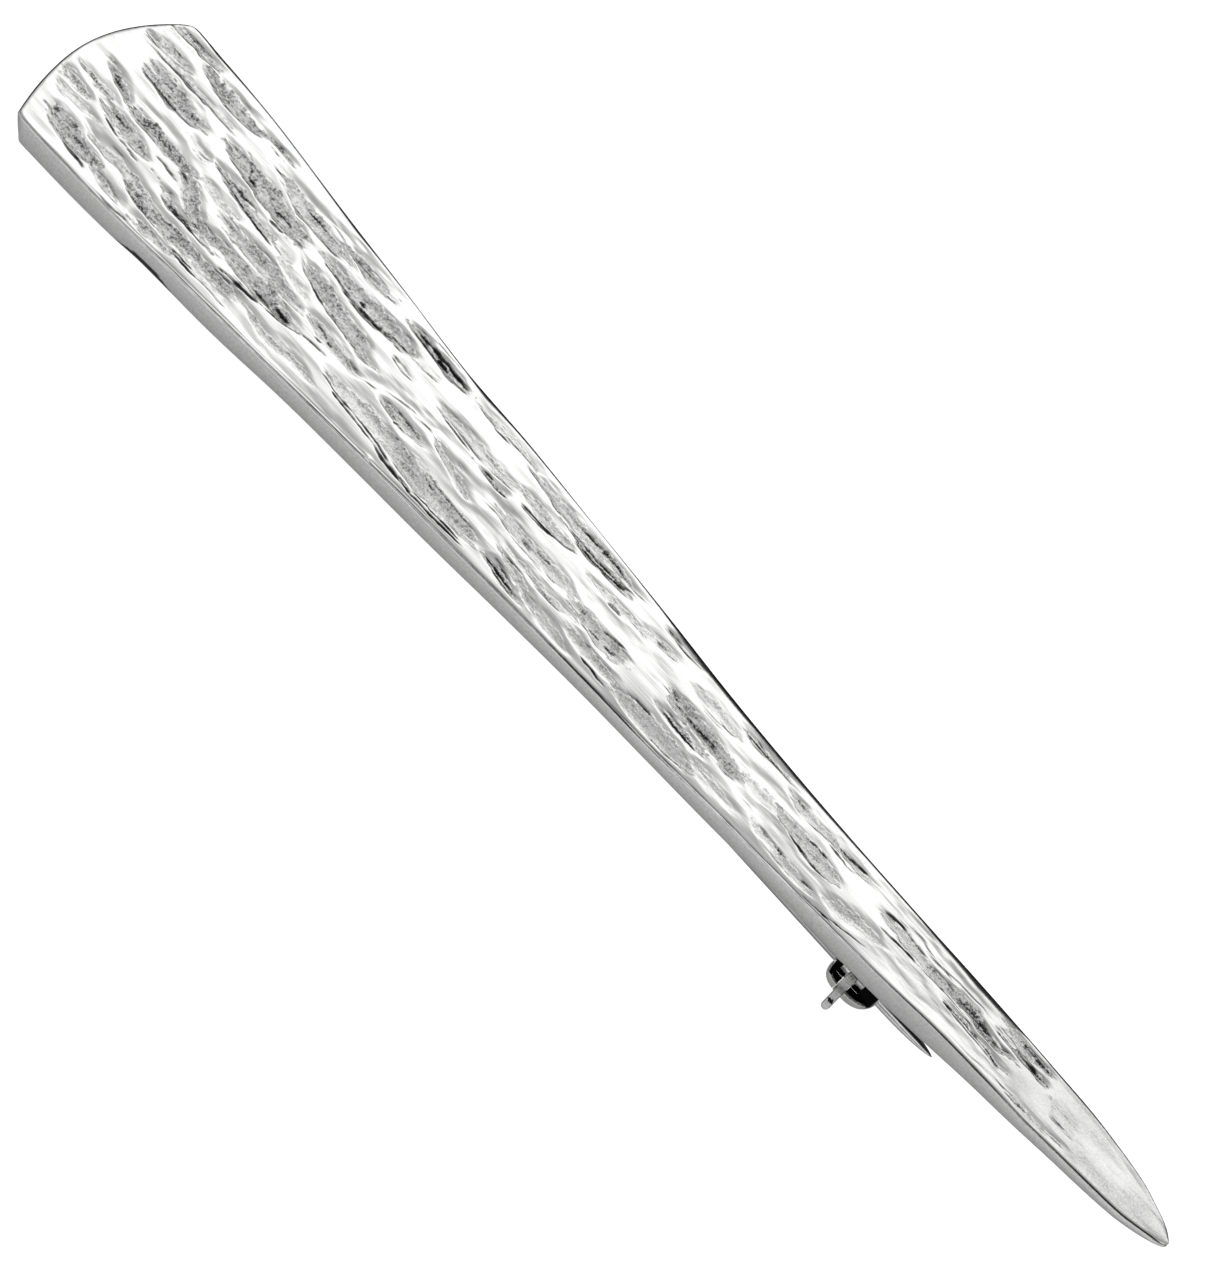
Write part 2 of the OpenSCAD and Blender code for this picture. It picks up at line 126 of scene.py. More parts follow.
# Hollows of the relief: where each begins and ends, half width, depth, and how dark its floor is
PITS = np.array([
    (2.8, 6.25, 7.2, 6.35, 0.38, 0.3, 0.45),
    (6.1, 5.6, 11.7, 5.35, 0.68, 0.34, 0.6),
    (11.3, 5.85, 14.6, 5.65, 0.26, 0.2, 0.5),
    (2.5, 5.5, 5.4, 5.65, 0.16, 0.1, 0.3),
    (1.9, 4.4, 6.3, 4.6, 0.58, 0.3, 0.4),
    (2, 3.9, 10.9, 3.95, 0.33, 0.22, 0.35),
    (3.2, 2.6, 9.4, 2.35, 0.78, 0.4, 0.6),
    (8.6, 1.2, 11.0, 1.0, 0.5, 0.2, 0.25),
    (10.3, 3.2, 18.9, 2.05, 0.98, 0.42, 0.6),
    (10.9, 1.35, 17.4, 0.6, 0.42, 0.36, 0.6),
    (1.5, 0.65, 4.9, -0.4, 0.42, 0.3, 0.55),
    (4.9, -0.45, 11.2, -0.6, 0.55, 0.36, 0.8),
    (10.3, -1.0, 13.6, -2.6, 0.68, 0.34, 0.65),
    (3.3, -1.5, 8.3, -2.4, 0.7, 0.34, 0.55),
    (0.4, -1.1, 4.6, -1.1, 0.24, 0.2, 0.55),
    (0.3, -2.25, 3.4, -2.4, 0.5, 0.24, 0.6),
    (0.5, -3.5, 4.4, -3.2, 0.45, 0.18, 0.35),
    (9.8, -3.1, 14.6, -3.3, 0.28, 0.3, 0.5),
    (11, -0.2, 14.9, -0.5, 0.33, 0.2, 0.4),
    (13.8, -0.95, 21.8, -1.5, 0.74, 0.34, 0.55),
    (12.2, -2.6, 22.4, -2.55, 0.66, 0.4, 0.6),
    (18.6, -2.85, 21.7, -2.55, 0.3, 0.35, 0.5),
    (1.7, -5, 6.4, -5.4, 0.78, 0.38, 0.6),
    (3.8, -3.95, 11.8, -4.25, 0.42, 0.28, 0.5),
    (7.3, -4.6, 18.9, -4.5, 0.6, 0.36, 0.65),
    (5.8, -5.6, 9.5, -5.85, 0.33, 0.22, 0.45),
    (9.6, -5.85, 13.9, -5.35, 0.34, 0.25, 0.6),
    (13, -5.3, 18.4, -5.2, 0.24, 0.22, 0.35),
    (13.8, 4.55, 21.4, 3.55, 0.6, 0.3, 0.5),
    (20, 4.45, 25.2, 4.4, 0.5, 0.3, 0.5),
    (19.6, 2.6, 28.6, 2.75, 0.72, 0.42, 0.55),
    (26.5, 2.45, 30.6, 2.5, 0.15, 0.15, 0.3),
    (18.5, 1.5, 27.3, -0.25, 0.68, 0.42, 0.65),
    (16.6, 0.9, 18.8, 0.4, 0.42, 0.2, 0.3),
    (17.9, 0.1, 21.1, -0.65, 0.35, 0.16, 0.35),
    (21.4, -1.1, 26.6, -1.5, 0.5, 0.28, 0.55),
    (19.2, -4.35, 25.2, -4.4, 0.42, 0.22, 0.5),
    (26.7, 4.05, 32.2, 3.9, 0.38, 0.45, 0.6),
    (27, 1.35, 29.4, 1.2, 0.27, 0.16, 0.3),
    (28.2, -1.35, 33.1, -1.5, 0.4, 0.32, 0.6),
    (24.9, -2.8, 32.4, -3.1, 0.6, 0.34, 0.45),
    (30.2, -3.1, 39.4, -3.2, 0.9, 0.42, 0.65),
    (31.1, 1.55, 39.2, 1.5, 0.5, 0.28, 0.4),
    (32.8, 3.95, 39.2, 3.75, 0.3, 0.22, 0.45),
    (38.2, 3.4, 48.7, 3.25, 0.52, 0.34, 0.5),
    (42.0, 2.6, 48.4, 2.6, 0.28, 0.34, 0.55),
    (35.9, 0.65, 38.5, 0.5, 0.2, 0.28, 0.7),
    (38.6, 1.7, 44.2, 1.8, 0.5, 0.34, 0.5),
    (32.6, -0.4, 37.3, -1.5, 0.42, 0.3, 0.6),
    (38.3, -0.4, 46.6, -0.75, 0.58, 0.3, 0.45),
    (40.2, -1.8, 47.2, -1.95, 0.32, 0.22, 0.45),
    (40.7, -2.5, 44.9, -3.3, 0.4, 0.28, 0.55),
    (40.0, -3.4, 43.8, -3.75, 0.2, 0.28, 0.7),
    (44.7, -3.3, 48.4, -3.6, 0.52, 0.14, 0.35),
    (45.0, 1.2, 50.6, 1.55, 0.3, 0.18, 0.45),
    (46.2, -1.1, 51.4, -1.0, 0.66, 0.36, 0.68),
    (49.5, 1.6, 53.0, 1.9, 0.33, 0.22, 0.4),
    (46.9, -2.6, 51.8, -2.55, 0.48, 0.3, 0.5),
    (51.4, -2.85, 58.6, -2.75, 0.72, 0.34, 0.6),
    (53.7, 0, 61.4, -0.75, 0.66, 0.42, 1.25),
    (53.9, -1.3, 58.6, -1.55, 0.26, 0.26, 0.55),
    (54.6, 1.6, 59, 1.5, 0.52, 0.24, 0.42),
    (50.9, 2.95, 54.9, 2.75, 0.2, 0.2, 0.35),
    (58.4, 2.25, 63.9, 2.1, 0.2, 0.28, 0.5),
    (57.6, -2.25, 62.9, -2.4, 0.45, 0.2, 0.35),
    (60.7, -0.25, 64.6, -0.1, 0.38, 0.2, 0.4),
    (63.5, 1.45, 71.3, 1.45, 0.42, 0.28, 0.5),
    (63.9, -0.05, 69.7, -0.5, 0.66, 0.36, 0.6),
    (63.3, -1.9, 69.5, -2.3, 0.4, 0.24, 0.45),
    (69.6, -1.9, 75, -1.25, 0.6, 0.3, 0.45),
    (72.5, 0.35, 79.6, 0.1, 0.55, 0.32, 0.5),
    (76.8, 0.45, 85.1, 0.05, 0.4, 0.38, 1),
    (79.3, -0.7, 85.3, -0.85, 0.22, 0.28, 0.6),
    (75.7, -1.1, 78.5, -1.2, 0.3, 0.1, 0.25),
    (83, 1.55, 88.1, 1.6, 0.33, 0.26, 0.6),
    (83.6, 1.15, 87.9, 0.8, 0.2, 0.3, 0.65),
    (85.3, -1.85, 91.6, -1.55, 0.25, 0.14, 0.45),
    (88.6, 0.3, 91.1, 0.25, 0.4, 0.1, 0.35),
    (88.8, -0.45, 91.3, -0.45, 0.2, 0.12, 0.3),
])

# Fine creases in and beside them, each with a painted shade line along it: both ends, bow, half
# width, how dark the painted shade is
CREASES = np.array([
    (3.6, 3.78, 8.4, 3.6, 0.22, 0.06, 0.7),
    (3.6, 2.08, 8.5, 1.82, -0.03, 0.09, 0.75),
    (3.4, 2.5, 6.5, 2.3, 0, 0.05, 0.35),
    (10.9, 1.08, 13, 1.2, 0.04, 0.06, 0.65),
    (12.5, 1.02, 17.3, 0.12, -0.04, 0.09, 0.9),
    (12, 1.3, 15.2, 1.2, 0.06, 0.1, 0.5),
    (9.2, 0.8, 10.9, 0.9, -0.16, 0.05, 0.4),
    (2.3, 0.4, 4.7, -0.3, 0, 0.12, 0.5),
    (0.4, -1, 4, -1.15, -0.04, 0.08, 0.4),
    (4, -2.42, 8.1, -3, -0.06, 0.07, 0.75),
    (4.5, -1.65, 6.2, -1.85, 0.03, 0.09, 0.6),
    (8.1, -1.55, 10.4, -1.77, -0.04, 0.06, 0.65),
    (10.1, -3.3, 14.6, -3.45, -0.02, 0.09, 0.95),
    (10.9, -3.2, 13.6, -3.3, 0.04, 0.05, 0.6),
    (15.8, -3.75, 19.7, -3.3, -0.1, 0.1, 0.9),
    (19.5, -3.32, 21.9, -2.78, -0.1, 0.06, 0.65),
    (21.6, -2.8, 24.9, -2.25, 0.1, 0.05, 0.65),
    (16.2, -3.5, 19.3, -3.25, -0.03, 0.05, 0.5),
    (18.2, -2.8, 20.1, -2.85, 0, 0.12, 0.85),
    (20.1, -2.66, 21.6, -2.6, 0.1, 0.14, 1),
    (12.9, -5.25, 15.3, -5.24, 0.02, 0.05, 0.85),
    (13.1, -5.4, 15.7, -5.42, -0.03, 0.06, 0.95),
    (3.7, -5.92, 6, -6.15, 0, 0.11, 0.8),
    (2.9, -5.62, 3.9, -5.8, 0, 0.05, 0.5),
    (3.7, -5.1, 5.6, -5.2, 0.05, 0.2, 0.5),
    (7.4, -6.72, 10.4, -6.35, -0.05, 0.05, 0.55),
    (12.8, 2.72, 13.8, 2.5, 0, 0.07, 0.95),
    (11.7, 3.75, 13, 2.85, 0.15, 0.1, 0.45),
    (15.6, 2.25, 17.3, 2.3, 0.28, 0.09, 0.75),
    (15.7, 1.4, 17.2, 1.55, 0, 0.12, 0.65),
    (12, 5.8, 14.4, 5.72, 0.05, 0.12, 0.45),
    (12.2, 5.33, 13.9, 5.3, -0.06, 0.04, 0.55),
    (2.9, 6.6, 7.2, 6.55, 0.1, 0.06, 0.4),
    (2.9, 5.05, 5.4, 4.98, 0.02, 0.05, 0.35),
    (1.5, 0.75, 3.3, 0.82, 0.06, 0.05, 0.4),
    (6.2, -5.45, 9.3, -5.9, 0.1, 0.08, 0.4),
    (8.3, -4.8, 11.6, -4.95, -0.05, 0.12, 0.5),
    (8, -4.4, 9.2, -4.4, 0, 0.12, 0.45),
    (8.2, -2.5, 9.9, -2.75, 0.06, 0.035, 0.45),
    (12.8, -2.8, 13.8, -2.85, 0, 0.15, 0.55),
    (9.7, -0.98, 10.9, -1.15, 0.03, 0.08, 0.5),
    (6.8, 5.75, 9.2, 5.35, -0.1, 0.1, 0.4),
    (16.4, 4.32, 19.5, 4.1, 0.04, 0.07, 0.5),
    (16, 3.66, 17.4, 3.6, 0, 0.03, 0.5),
    (20.9, 4.55, 23.6, 4.5, 0.03, 0.16, 0.55),
    (21.2, 4.82, 24.2, 4.72, 0.06, 0.04, 0.45),
    (20, 2.45, 22.4, 2.2, -0.02, 0.08, 0.65),
    (21.3, 2.25, 26.3, 2.12, -0.08, 0.13, 0.8),
    (21.8, 1.95, 25, 2, -0.05, 0.05, 0.55),
    (24.9, 2.15, 26.6, 2.4, 0, 0.16, 0.85),
    (26.1, 2.47, 28, 2.55, 0.02, 0.07, 0.85),
    (23.4, 2.55, 23.85, 2.5, 0, 0.12, 0.85),
    (21.7, 2.6, 22.6, 2.55, 0, 0.06, 0.6),
    (27.8, 2.5, 30.6, 2.62, -0.16, 0.05, 0.55),
    (20.3, 0.62, 21.6, 0.25, -0.05, 0.08, 0.65),
    (21.1, 0.25, 23.5, 0.14, 0, 0.13, 0.8),
    (22, 0.05, 26.7, -0.44, -0.04, 0.045, 0.65),
    (16.1, -0.5, 18.8, -0.45, 0.02, 0.05, 0.35),
    (22.1, -1, 23.9, -1.35, 0.03, 0.08, 0.55),
    (23.9, -1.4, 24.4, -1.5, 0, 0.1, 0.65),
    (23, -1.97, 23.8, -1.9, 0, 0.05, 0.6),
    (19.1, -1.9, 19.7, -1.95, 0, 0.1, 0.55),
    (20, -1.9, 21.1, -1.95, 0, 0.05, 0.45),
    (24.9, -3.32, 28.3, -3.5, -0.05, 0.06, 0.75),
    (28.1, -3.5, 32.2, -4.18, 0.1, 0.07, 0.75),
    (26.2, -3.72, 30.6, -4.08, 0.08, 0.06, 0.75),
    (26.3, -3.68, 27.5, -3.65, 0, 0.1, 0.85),
    (30.3, -4.05, 34.3, -4.42, -0.08, 0.09, 0.85),
    (28.4, -1.3, 32.7, -1.4, 0.26, 0.07, 0.5),
    (30.3, -1.9, 30.7, -1.62, 0, 0.1, 0.95),
    (28.8, -1.5, 30.6, -1.55, 0, 0.09, 0.32),
    (26.9, 4.28, 31.9, 4.12, 0.03, 0.075, 0.95),
    (26.7, 3.92, 30.3, 3.72, -0.03, 0.085, 1),
    (29.2, 4.02, 30.4, 3.88, 0, 0.12, 0.95),
    (30, 4.15, 32, 3.98, 0, 0.085, 0.95),
    (30.3, 3.75, 31.9, 3.6, 0, 0.06, 0.85),
    (28, 4.75, 31, 4.68, 0, 0.04, 0.4),
    (27.1, 1.48, 29, 1.35, 0.04, 0.07, 0.4),
    (27.7, 1.13, 28.8, 1.1, -0.03, 0.05, 0.4),
    (31.6, 1.18, 34.9, 0.85, -0.04, 0.06, 0.8),
    (31.2, 1.7, 34, 1.92, 0.05, 0.04, 0.3),
    (36.1, 0.65, 37.1, 0.72, 0, 0.06, 0.75),
    (36.6, 0.57, 38.6, 0.48, -0.04, 0.09, 0.8),
    (39.1, 1.05, 42.3, 1.2, -0.04, 0.14, 1),
    (41.9, 1.2, 44, 1.72, 0, 0.075, 0.85),
    (42.3, 2.65, 48.5, 2.88, -0.08, 0.06, 0.75),
    (42.7, 2.6, 47.5, 2.62, -0.24, 0.085, 0.85),
    (46.6, 2.58, 47.6, 2.68, 0, 0.12, 0.9),
    (45.7, 2.18, 47, 2.3, 0, 0.06, 0.55),
    (43, 3.35, 47.1, 3.35, 0.14, 0.1, 0.65),
    (45, 3.52, 48.1, 3.2, 0.05, 0.05, 0.45),
    (34.5, 3.5, 36.2, 3.53, 0, 0.065, 0.6),
    (33.4, -2.4, 38.9, -2.75, -0.1, 0.07, 0.4),
    (33.8, -2.7, 35.4, -3, 0, 0.06, 0.45),
    (32.9, -4.2, 34.3, -4.46, -0.04, 0.1, 0.95),
    (34, -4.5, 38.9, -4.18, -0.03, 0.08, 0.9),
    (34, -4.25, 38.6, -4.05, 0.06, 0.07, 0.8),
    (40.1, -3.32, 43.5, -3.72, 0.08, 0.08, 0.85),
    (40.4, -3.42, 43.3, -3.85, -0.08, 0.05, 0.85),
    (42, -0.42, 43.6, -0.25, 0.03, 0.06, 0.55),
    (40.9, -0.6, 41.9, -0.65, 0, 0.13, 0.5),
    (48.2, -0.62, 50.6, -0.4, 0.05, 0.07, 0.5),
    (47.9, -1.35, 48.8, -1.2, 0, 0.1, 0.6),
    (49.1, -1.35, 51, -1.02, 0, 0.11, 0.65),
    (48.6, -3.05, 51.3, -3.3, 0.04, 0.07, 0.8),
    (40.4, -4.75, 41.6, -4.72, -0.06, 0.06, 0.7),
    (47.4, 1, 48.6, 1.08, 0, 0.12, 0.45),
    (39.7, 0, 40.9, -0.1, 0, 0.06, 0.35),
    (40, -1.1, 43.2, -0.9, -0.08, 0.05, 0.4),
    (42.4, -2, 46, -2.12, -0.03, 0.07, 0.4),
    (46.7, -0.75, 47.1, -0.8, 0, 0.08, 0.5),
    (51, 3.12, 52.6, 3.05, 0, 0.06, 0.7),
    (58.9, 2.2, 63.4, 2.08, -0.04, 0.07, 0.8),
    (59.8, 2.38, 61.6, 2.2, 0, 0.06, 0.5),
    (54.6, -0.25, 59.3, -0.42, 0.03, 0.16, 0.65),
    (54, 0.3, 54.9, 0, 0, 0.1, 0.5),
    (54.1, -1.3, 58.1, -1.62, -0.03, 0.08, 0.75),
    (54.6, -1.12, 57.6, -1.48, 0.05, 0.06, 0.45),
    (56, -0.95, 56.4, -0.78, 0, 0.08, 0.65),
    (52.2, -2.38, 54.5, -2.15, 0.08, 0.08, 0.6),
    (54.9, -3.15, 58.3, -3, -0.1, 0.05, 0.45),
    (56.2, 0.85, 58.1, 0.95, -0.06, 0.05, 0.4),
    (51.2, 1.88, 52.2, 1.95, 0, 0.09, 0.45),
    (65.1, -0.52, 69.3, -0.98, -0.14, 0.08, 0.85),
    (66.5, 0.08, 68.3, 0.08, 0.1, 0.07, 0.65),
    (66.9, -0.42, 68.1, -0.4, 0, 0.06, 0.5),
    (63.6, -1.82, 66.8, -2.02, 0.04, 0.1, 0.4),
    (65, -2.62, 68, -2.62, 0.05, 0.05, 0.35),
    (64.2, 1.65, 65.2, 1.48, 0, 0.09, 0.4),
    (68.2, 1.44, 70.9, 1.55, 0.03, 0.07, 0.62),
    (67.4, 1.02, 69.7, 0.8, 0.02, 0.05, 0.6),
    (72.9, 0.66, 74.9, 0.82, 0.08, 0.09, 0.7),
    (74.4, 0.85, 77.1, 0.55, 0, 0.05, 0.55),
    (73.4, -0.52, 76.8, -0.3, 0.03, 0.075, 0.7),
    (76.5, -0.3, 79.2, -0.25, 0.05, 0.04, 0.4),
    (77, 0.4, 79.7, 0.62, 0, 0.05, 0.45),
    (79.8, 0.4, 84.3, 0.08, 0.06, 0.22, 0.48),
    (79.6, -0.62, 84.9, -0.9, 0.12, 0.06, 0.6),
    (79.6, -0.82, 84.8, -0.98, 0.02, 0.05, 0.65),
    (79.5, -0.72, 80.6, -0.7, 0, 0.1, 0.75),
    (84, -0.8, 85, -0.96, 0, 0.08, 0.85),
    (68.7, -2.84, 71.5, -2.78, -0.03, 0.05, 0.7),
    (70.6, -2.8, 73.9, -2.25, 0.03, 0.055, 0.6),
    (68, -2.2, 69.2, -2.14, 0, 0.05, 0.55),
    (84.6, 1.12, 87.7, 0.85, -0.06, 0.11, 0.8),
    (84.7, 1.72, 87.7, 1.55, 0.05, 0.13, 0.65),
    (83, 1.35, 85, 1.15, 0, 0.04, 0.5),
    (86.1, -1.92, 88.2, -1.7, 0, 0.08, 0.5),
    (89.1, -0.45, 90.7, -0.42, -0.03, 0.05, 0.55),
    (88.9, -1.68, 91.6, -1.5, 0.03, 0.04, 0.35),
])

# Shallow dips between the hollows, with no rough floor: both ends, half width, depth
VALLEYS = np.array([
    (3.5, 0.55, 11, 0.15, 0.35, 0.065), (25.5, -1.6, 30, -0.1, 0.4, 0.1),
    (28.5, -0.1, 35, 0.3, 0.4, 0.1), (13.5, 4.85, 26, 5, 0.38, 0.075),
    (7.5, 6.2, 12.5, 6.05, 0.25, 0.06), (24.5, -2, 29.5, -2.2, 0.6, 0.1),
    (33.5, -1.9, 41, -2.2, 0.6, 0.09), (36, -0.8, 40.5, 0.1, 0.5, 0.09),
    (45, 0.1, 53, 0.4, 0.6, 0.08), (50.5, 1.2, 55, 0, 0.7, 0.07), (58, 0.3, 66, 0.9, 0.45, 0.08),
    (60.5, -1, 70, -1.5, 0.45, 0.09), (70.5, 1.5, 84.5, 1.45, 0.45, 0.1),
    (74, -2.1, 87, -1.3, 0.45, 0.07), (17.5, -5.1, 27, -5.2, 0.5, 0.05),
    (24, -4.75, 33, -5.05, 0.25, 0.035), (3.8, -3.7, 8, -3.6, 0.28, 0.035),
    (92, 0.6, 98, 0.2, 0.8, 0.05),
])

# Width of the soft border along the low side, where the face begins to turn down
BEVEL = np.array([
    (0, 0.15), (7, 0.15), (10.5, 0.5), (17, 0.8), (20, 1), (24.5, 0.6), (26, 0.75), (30, 0.5),
    (34, 0.2), (38, 0.4), (40, 0.45), (44, 0.2), (51, 0.25), (56, 0.4), (62, 0.45), (70, 0.45),
    (78, 0.3), (84, 0.15), (100, 0.1),
])

# How far the high edge is rounded over
HIGH_ROUND = np.array([
    (0, 0.2), (4, 0.22), (6.5, 0.3), (9, 0.2), (22, 0.2), (27, 0.12), (31, 0.16), (33, 0.3),
    (38, 0.2), (44, 0.12), (50, 0.2), (53, 0.5), (57, 0.42), (62, 0.32), (70, 0.22), (77, 0.28),
    (80, 0.42), (83, 0.36), (88, 0.2), (100, 0.12),
])

# Height of the middle of the face
CROWNS = np.array([
    (0, 2.25), (36, 2.25), (50, 2), (57, 2), (68, 2.12), (75, 2.22), (84, 2.18), (100, 2.12),
])

# Painted shade line along the low edge of the face: how dark
LOW_LINE = np.array([
    (0, 0.3), (7, 0.2), (17, 0.1), (26, 0.25), (34, 0.2), (41, 0.35), (46, 0.3), (50, 0.85),
    (53, 0.8), (55, 0.35), (60, 0.1), (74, 0.1), (78, 0.5), (84, 0.7), (87, 0.3), (91, 0.6),
    (95, 1), (99, 0.9), (100, 0),
])

# Painted shade line along the high edge of the face: how dark and how wide
HIGH_LINE = np.array([
    (0, 0.5, 0.1), (4, 0.9, 0.12), (5, 1, 0.14), (6, 1, 0.19), (8, 1, 0.16), (10, 0.8, 0.12),
    (15, 0.8, 0.12), (18, 1, 0.16), (20, 1, 0.2), (22, 1, 0.13), (26, 0.9, 0.08), (31, 1, 0.11),
    (33, 1, 0.26), (35.5, 1, 0.17), (40, 0.9, 0.11), (44, 0.6, 0.06), (47, 0.9, 0.09),
    (50, 1, 0.14), (52.5, 1, 0.3), (55, 1, 0.36), (58, 1, 0.3), (61, 1, 0.26), (66, 1, 0.22),
    (70, 1, 0.16), (75, 1, 0.18), (78, 1, 0.26), (80.5, 1, 0.36), (83, 1, 0.26), (85, 0.9, 0.14),
    (90, 0.9, 0.13), (95, 0.45, 0.1), (100, 0.3, 0.08),
])

# How matt the polished parts are
SATIN = np.array([
    (0, 0.02), (14, 0.01), (20, 0), (30, 0.02), (50, 0.045), (66, 0.07), (78, 0.09), (86, 0.15),
    (92, 0.21), (100, 0.215),
])

# How dark the floors of the hollows are, and how much of the relief's depth is kept
STRENGTH = np.array([
    (0, 0.6), (11, 0.58), (20, 0.46), (30, 0.36), (52, 0.27), (60, 0.25), (76, 0.28), (82, 0.42),
    (100, 0.34),
])
KEPT_DEPTH = np.array([(48, 1), (56, 0.85), (78, 0.85), (84, 1)])

# Painted shade line along the broad end: y and how dark
END_LINE = np.array([(-7, 0.4), (-5, 0.95), (1, 0.95), (4, 0.5), (7, 0.35)])

# How far the low edge is rounded over, and where a small spot on it is raised
LOW_ROUND = 0.22
RAISED_X = 30.9


def ease(a):
    a = np.clip(a, 0, 1)
    return a * a * (3 - 2 * a)


def read(table, x, col=1):
    """A column of a table between its rows."""
    return np.interp(x, table[:, 0], table[:, col])


def bell(distance, width):
    return np.exp(-((distance / width) ** 2))


def outline(x, col):
    """A column of the outline, smoothly between its rows."""
    rows = OUTLINE
    order = np.arange(len(rows))
    i = np.clip(np.searchsorted(rows[:, 0], x, side="right") - 1, 0, len(rows) - 2)
    before, after = np.maximum(order - 1, 0), np.minimum(order + 1, len(rows) - 1)
    slope = (rows[after, col] - rows[before, col]) / (rows[after, 0] - rows[before, 0])
    run = rows[i + 1, 0] - rows[i, 0]
    u = (x - rows[i, 0]) / run
    v = 1 - u
    return (
        rows[i, col] * v * v * (1 + 2 * u)
        + rows[i + 1, col] * u * u * (3 - 2 * u)
        + slope[i] * run * u * v * v
        - slope[i + 1] * run * u * u * v
    )


def lattice(ix, iy, seed):
    """A fixed number from 0 to 1 for each point of a whole-number grid."""
    n = (
        ix.astype(np.int64) * 374761393 + iy.astype(np.int64) * 668265263 + seed * 1442695041
    ) & 0xFFFFFFFF
    n = ((n ^ (n >> 13)) * 1274126177) & 0xFFFFFFFF
    n = (n ^ (n >> 16)) & 0xFFFFFF
    return n / float(0xFFFFFF)


def noise(x, y, seed):
    """Smooth noise from -1 to 1."""
    ix, iy = np.floor(x), np.floor(y)
    fx, fy = x - ix, y - iy
    fx = fx * fx * fx * (fx * (fx * 6 - 15) + 10)
    fy = fy * fy * fy * (fy * (fy * 6 - 15) + 10)
    near = lattice(ix, iy, seed) * (1 - fx) + lattice(ix + 1, iy, seed) * fx
    far = lattice(ix, iy + 1, seed) * (1 - fx) + lattice(ix + 1, iy + 1, seed) * fx
    return 2 * (near * (1 - fy) + far * fy) - 1


def grains(x, y, *layers):
    """Layers of noise added up: how strong, the size along and across the bar, and the seed."""
    return sum(share * noise(x / long, y / wide, seed) for share, long, wide, seed in layers)


def frame_of(p, x, y):
    """Place along a hollow from -1 to 1, and millimetres across it toward the high side."""
    dx, dy = p[2] - p[0], p[3] - p[1]
    run = math.hypot(dx, dy)
    u = 2 * ((x - p[0]) * dx + (y - p[1]) * dy) / run**2 - 1
    w = ((y - p[1]) * dx - (x - p[0]) * dy) / run
    return u, w


def beside(p, x, y, reach):
    """The points within reach of a hollow or crease."""
    mid, half = (p[1] + p[3]) / 2, abs(p[3] - p[1]) / 2
    return (x > p[0] - reach) & (x < p[2] + reach) & (np.abs(y - mid) < half + reach)


def hollows(x, y, wx, wy):
    """Depth of the hollows, and how rough their ragged floors are."""
    total, hollow = np.zeros_like(x), np.zeros_like(x)
    tatter = grains(x, y, (0.7, 1.3, 0.2, 51), (0.4, 0.5, 0.12, 53))
    fray = grains(x, y, (0.6, 0.5, 0.3, 55), (0.6, 0.22, 0.15, 57))
    for p in PITS:
        half_width, depth, darkness = p[4:7]
        near = beside(p, x, y, half_width + 1.6)
        u, w = frame_of(p, wx[near], wy[near])
        half = half_width * np.clip(1 - np.abs(u) ** 1.6, 0, 1) ** 0.85
        end = ease((1.2 - np.abs(u)) / 0.6)
        low_bank = ease((w + half + 0.25) / (0.5 + 0.5 * half))
        high_bank = 1 - ease((w + 0.2 * half) / (1.05 * half + 0.5))
        total[near] += (0.66 * depth * low_bank * high_bank * end) ** 3
        ragged = 0.97 * u + 2.2 / math.hypot(p[2] - p[0], p[3] - p[1]) * tatter[near]
        half = half_width * np.clip(1 - np.abs(ragged) ** 2, 0, 1) ** 0.8
        border = (half + 0.1 - np.abs(w)) / (0.2 + 0.28 * half) + 0.45 * fray[near]
        inside = ease(border) * ease((1.08 - np.abs(ragged)) / 0.35)
        # Patina and roughness grow toward the floor's high side; the extra darkening on that side
        # is painted shade
        shade = 0.78 + 0.27 * np.clip(w / (half + 0.1), -1, 1)
        hollow[near] = np.maximum(hollow[near], inside * darkness * shade)
    return total ** (1 / 3), hollow


def creases(x, y, dark):
    """Depth of the creases, and the darkness with their painted shade lines in it."""
    cx = x + grains(x, y, (0.1, 0.8, 0.5, 41))
    cy = y + grains(x, y, (0.04, 0.6, 0.4, 43), (0.015, 0.2, 0.2, 45))
    dark, creased = dark.copy(), np.zeros_like(x)
    for p in CREASES:
        bow, half_width, darkness = p[4:7]
        near = beside(p, x, y, abs(bow) + half_width + 0.5)
        u, w = frame_of(p, cx[near], cy[near])
        w = w - bow * (1 - u * u)
        taper = np.clip(1 - np.abs(u), 0, 1) ** 0.55
        patchy = noise(cx[near] / 0.45, cy[near] / 2, 47)
        strands = min(8 * half_width, 1) * noise(cx[near] / 1.4, cy[near] / 0.09, 49)
        half = half_width * (0.2 + 0.95 * taper) * (1 + 0.4 * patchy)
        line = bell(w, 0.85 * half) * ease((1.05 - np.abs(u)) / 0.45)
        creased[near] += 0.8 * half_width * line * min(1, darkness + 0.2)
        # Painted shade: a dark line down each crease
        painted_crease_shade = 2 * line * darkness**1.4 * np.clip(1 + 0.4 * patchy + strands, 0.1, 1.6)
        painted_crease_shade = np.minimum(painted_crease_shade, 1.5) + 0.35 * dark[near]
        dark[near] = np.maximum(dark[near] * (1 - 0.3 * line), painted_crease_shade)
    return creased, dark


